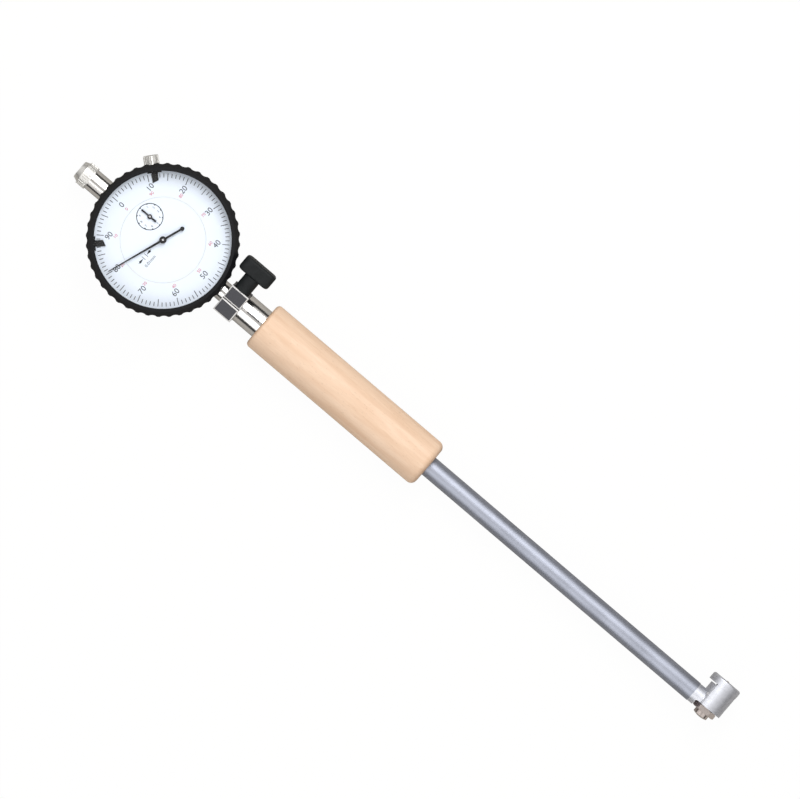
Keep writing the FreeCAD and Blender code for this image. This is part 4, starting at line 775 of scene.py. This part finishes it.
class BORE_OT_small_dial(bpy.types.Operator):
    """Print the small revolution dial: a ring, ten dots and their numerals"""
    bl_idname = "bore_gauge.small_dial"
    bl_label = "Small dial"

    def execute(self, context):
        size = sizes()
        face = Vector((SMALL_DIAL.x, SMALL_DIAL.y, DIAL_FACE))
        raised = face + Vector((0, 0, size.ink / 2))
        deselect()
        bpy.ops.mesh.primitive_cylinder_add(
            vertices=96, radius=size.small_circle, depth=size.ink, location=raised)
        ring = settle(bpy.context.object, "ring")
        bpy.ops.object.mode_set(mode="EDIT")
        bpy.ops.mesh.select_mode(type="FACE")
        bpy.ops.mesh.select_all(action="DESELECT")
        bpy.ops.object.mode_set(mode="OBJECT")
        for polygon in ring.data.polygons:
            polygon.select = abs(polygon.normal.z) > 0.5
        bpy.ops.object.mode_set(mode="EDIT")
        bpy.ops.mesh.inset(thickness=0.3 * MM)
        bpy.ops.mesh.bridge_edge_loops()
        bpy.ops.object.mode_set(mode="OBJECT")
        dots = []
        for tenth in range(10):
            deselect()
            bpy.ops.mesh.primitive_cylinder_add(
                vertices=16, radius=0.3 * MM, depth=size.ink,
                location=round_dial(36 * tenth, size.small_circle - 0.3 * MM, raised))
            dots.append(settle(bpy.context.object, "dot"))
        figures = [
            lettering(str(tenth), size.small_numeral_height,
                      round_dial(36 * tenth, size.small_numeral_circle, raised), size.ink)
            for tenth in range(10)
        ]
        small = join([ring] + dots + figures, "small_dial_print")
        dress(small, "gauge", finish("black_print"))
        return {"FINISHED"}


class BORE_OT_unit_mark(bpy.types.Operator):
    """Print the mark that says what one division is worth"""
    bl_idname = "bore_gauge.unit_mark"
    bl_label = "Unit mark"

    def execute(self, context):
        size = sizes()
        across, up, ink = size.mark_across, size.mark_up, size.ink
        raised = DIAL_FACE + ink / 2
        pieces = []
        for side in (-1, 1):
            line = across + side * size.mark_gap / 2
            pieces.append(bar(
                line - 0.09 * MM, line + 0.09 * MM, up - 0.95 * MM, up + 0.95 * MM, DIAL_FACE, ink))
            ends = sorted((line + side * 2.2 * MM, line + side * 2.9 * MM))
            pieces.append(bar(ends[0], ends[1], up - 0.11 * MM, up + 0.11 * MM, DIAL_FACE, ink))
            deselect()
            bpy.ops.mesh.primitive_cylinder_add(
                vertices=3, radius=1.0 * MM, depth=ink,
                location=(line + side * 1.6 * MM, up, raised),
                rotation=(0, 0, math.radians(90 * side)))
            head = bpy.context.object
            head.scale = (0.6, 1.4, 1.0)
            pieces.append(settle(head, "arrow"))
        pieces.append(lettering(
            "0.01mm", size.unit_height, (across, up - size.unit_drop, raised), ink))
        mark = join(pieces, "unit_mark")
        dress(mark, "gauge", finish("black_print"))
        return {"FINISHED"}


def tapered_bar(start, end, start_width, end_width, bottom, thickness):
    """A flat bar along Y that changes evenly from one width to another."""
    low, high = sorted((start, end))
    piece = bar(-start_width / 2, start_width / 2, low, high, bottom, thickness)
    bpy.context.tool_settings.mesh_select_mode = (True, False, False)
    for group in (piece.data.vertices, piece.data.edges, piece.data.polygons):
        group.foreach_set("select", [False] * len(group))
    for vertex in piece.data.vertices:
        vertex.select = abs(vertex.co.y - end) < 1e-6
    bpy.ops.object.mode_set(mode="EDIT")
    bpy.ops.transform.resize(
        value=(end_width / start_width, 1, 1), center_override=(0, end, bottom))
    bpy.ops.object.mode_set(mode="OBJECT")
    return piece


def hub(radius, bore, bottom, upper):
    """A turned hub with a hole for its arbor and a dished upper face."""
    deselect()
    bpy.ops.mesh.primitive_cylinder_add(
        vertices=48, radius=radius, depth=upper - bottom, location=(0, 0, (bottom + upper) / 2))
    piece = settle(bpy.context.object, "hub")
    select_faces(piece, lambda face: abs(face.normal.z) > 0.5)
    bpy.ops.mesh.inset(thickness=radius - bore)
    bpy.ops.mesh.bridge_edge_loops()
    select_faces(piece, lambda face: face.normal.z > 0.5)
    bpy.ops.mesh.inset(thickness=(radius - bore) * 0.35)
    bpy.ops.mesh.extrude_region_move(
        TRANSFORM_OT_translate={"value": (0, 0, (bottom - upper) * 0.2)})
    bpy.ops.object.mode_set(mode="OBJECT")
    return piece


def select_faces(piece, test):
    """Enter edit mode with just the faces that pass a test selected."""
    if piece.mode != "OBJECT":
        bpy.ops.object.mode_set(mode="OBJECT")
    bpy.context.tool_settings.mesh_select_mode = (False, False, True)
    for group in (piece.data.vertices, piece.data.edges, piece.data.polygons):
        group.foreach_set("select", [False] * len(group))
    for face in piece.data.polygons:
        face.select = test(face)
    bpy.ops.object.mode_set(mode="EDIT")


def disc(radius, place, bottom, thickness):
    deselect()
    bpy.ops.mesh.primitive_cylinder_add(
        vertices=32, radius=radius, depth=thickness, location=(0, place, bottom + thickness / 2))
    return settle(bpy.context.object, "disc")


class BORE_OT_pointers(bpy.types.Operator):
    """Make the two pointers: pressed blades on turned hubs"""
    bl_idname = "bore_gauge.pointers"
    bl_label = "Pointers"

    def execute(self, context):
        low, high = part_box("main_pointer")
        blade = low.z + 0.25 * MM
        self.finish_pointer("main_pointer", "centre_gear", Vector(), [
            hub(1.4 * MM, 0.42 * MM, low.z, high.z),
            tapered_bar(0.6 * MM, 24.2 * MM, 0.9 * MM, 0.34 * MM, blade, 0.25 * MM),
            tapered_bar(-0.6 * MM, -8.5 * MM, 0.8 * MM, 0.8 * MM, blade, 0.25 * MM),
            disc(0.82 * MM, -8.6 * MM, blade - 0.03 * MM, 0.31 * MM),
        ])
        low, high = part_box("small_pointer")
        blade = low.z + 0.15 * MM
        self.finish_pointer("small_pointer", "takeup_gear", Vector((SMALL_DIAL.x, SMALL_DIAL.y, 0)), [
            hub(0.92 * MM, 0.42 * MM, low.z, high.z),
            tapered_bar(0.6 * MM, 4.1 * MM, 0.55 * MM, 0.7 * MM, blade, 0.15 * MM),
            tapered_bar(-0.6 * MM, -3.1 * MM, 0.6 * MM, 0.8 * MM, blade, 0.15 * MM),
        ])
        return {"FINISHED"}

    def finish_pointer(self, node, body, axis, parts):
        """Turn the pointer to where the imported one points, and put it on its arbor."""
        packed = frame["nodes"][node]
        places = [packed.matrix_world @ vertex.co - axis for vertex in packed.data.vertices]
        tip = max(places, key=lambda place: place.x ** 2 + place.y ** 2)
        piece = join(parts, node + "_blade")
        piece.rotation_euler.z = math.atan2(-tip.x, tip.y)
        piece.location = axis
        settle(piece, node + "_blade")
        bpy.ops.object.shade_smooth_by_angle(angle=math.radians(35))
        dress(piece, body, bpy.data.materials["pointer_paint"])
        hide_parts(node)


class BORE_OT_cover_screws(bpy.types.Operator):
    """Make the back cover's four slotted screws"""
    bl_idname = "bore_gauge.cover_screws"
    bl_label = "Cover screws"

    def execute(self, context):
        size = sizes()
        spread = (SCREWS_HIGH.x - SCREWS_LOW.x) / 2
        head_radius = 1.5 * MM
        reach = spread - head_radius
        head_height = 0.7 * MM
        length = SCREWS_HIGH.z - SCREWS_LOW.z
        screws = []
        for quarter in range(4):
            across = reach * (1 if quarter % 2 else -1)
            along = reach * (1 if quarter > 1 else -1)
            deselect()
            bpy.ops.mesh.primitive_cylinder_add(
                vertices=48, radius=head_radius, depth=head_height,
                location=(across, along, SCREWS_LOW.z + head_height / 2))
            head = settle(bpy.context.object, "head")
            self.shank(head, length - head_height)
            self.slot(head, across, along, 35 + 50 * quarter, size)
            bevel = head.modifiers.new("edge", "BEVEL")
            bevel.width = 0.08 * MM
            bevel.segments = 2
            bevel.limit_method = "ANGLE"
            only(head)
            bpy.ops.object.modifier_apply(modifier="edge")
            bpy.ops.object.shade_smooth_by_angle(angle=math.radians(35))
            screws.append(head)
        piece = join(screws, "slotted_cover_screws")
        dress(piece, "gauge", finish("lapped_steel"))
        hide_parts("cover_screws")
        return {"FINISHED"}

    def shank(self, head, length):
        """Draw the shank out of the head's upper face."""
        only(head)
        high = max(vertex.co.z for vertex in head.data.vertices)
        for polygon in head.data.polygons:
            polygon.select = polygon.normal.z > 0.5 and polygon.center.z > high - 1e-6
        bpy.ops.object.mode_set(mode="EDIT")
        bpy.ops.mesh.select_mode(type="FACE")
        bpy.ops.mesh.inset(thickness=0.7 * MM)
        bpy.ops.mesh.extrude_region_move(TRANSFORM_OT_translate={"value": (0, 0, length)})
        bpy.ops.object.mode_set(mode="OBJECT")

    def slot(self, head, across, along, angle, size):
        """Cut the driver's slot across the head's lower face."""
        deselect()
        bpy.ops.mesh.primitive_cube_add(
            size=1, location=(across, along, SCREWS_LOW.z), rotation=(0, 0, math.radians(angle)))
        cutter = bpy.context.object
        cutter.scale = (4 * MM, size.slot_width, 2 * size.slot_depth)
        settle(cutter, "cutter")
        cut = head.modifiers.new("slot", "BOOLEAN")
        cut.operation = "DIFFERENCE"
        cut.object = cutter
        only(head)
        bpy.ops.object.modifier_apply(modifier="slot")
        bpy.data.objects.remove(cutter)


class BORE_PT_panel(bpy.types.Panel):
    """Lists the gauge's operators, sizes and colours in the sidebar"""
    bl_idname = "BORE_PT_panel"
    bl_label = "Bore gauge"
    bl_space_type = "VIEW_3D"
    bl_region_type = "UI"
    bl_category = "Bore gauge"

    def draw(self, context):
        layout = self.layout
        for operator in OPERATORS:
            layout.operator(operator.bl_idname)
        for group in (sizes(), colours()):
            for name in group.bl_rna.properties.keys():
                if name not in ("rna_type", "name"):
                    layout.prop(group, name)


OPERATORS = (
    BORE_OT_stage,
    BORE_OT_finishes,
    BORE_OT_divisions,
    BORE_OT_numerals,
    BORE_OT_small_dial,
    BORE_OT_unit_mark,
    BORE_OT_pointers,
    BORE_OT_cover_screws,
)
CLASSES = (BoreGaugeSizes, BoreGaugeColours) + OPERATORS + (BORE_PT_panel,)


def register():
    for item in CLASSES:
        bpy.utils.register_class(item)
    bpy.types.Scene.bore_gauge_sizes = bpy.props.PointerProperty(type=BoreGaugeSizes)
    bpy.types.Scene.bore_gauge_colours = bpy.props.PointerProperty(type=BoreGaugeColours)


def unregister():
    del bpy.types.Scene.bore_gauge_colours
    del bpy.types.Scene.bore_gauge_sizes
    for item in reversed(CLASSES):
        bpy.utils.unregister_class(item)


def main():
    register()
    bpy.ops.bore_gauge.stage()
    bpy.ops.bore_gauge.finishes()
    bpy.ops.bore_gauge.divisions()
    bpy.ops.bore_gauge.numerals()
    bpy.ops.bore_gauge.small_dial()
    bpy.ops.bore_gauge.unit_mark()
    bpy.ops.bore_gauge.pointers()
    bpy.ops.bore_gauge.cover_screws()


if __name__ == "__main__":
    main()
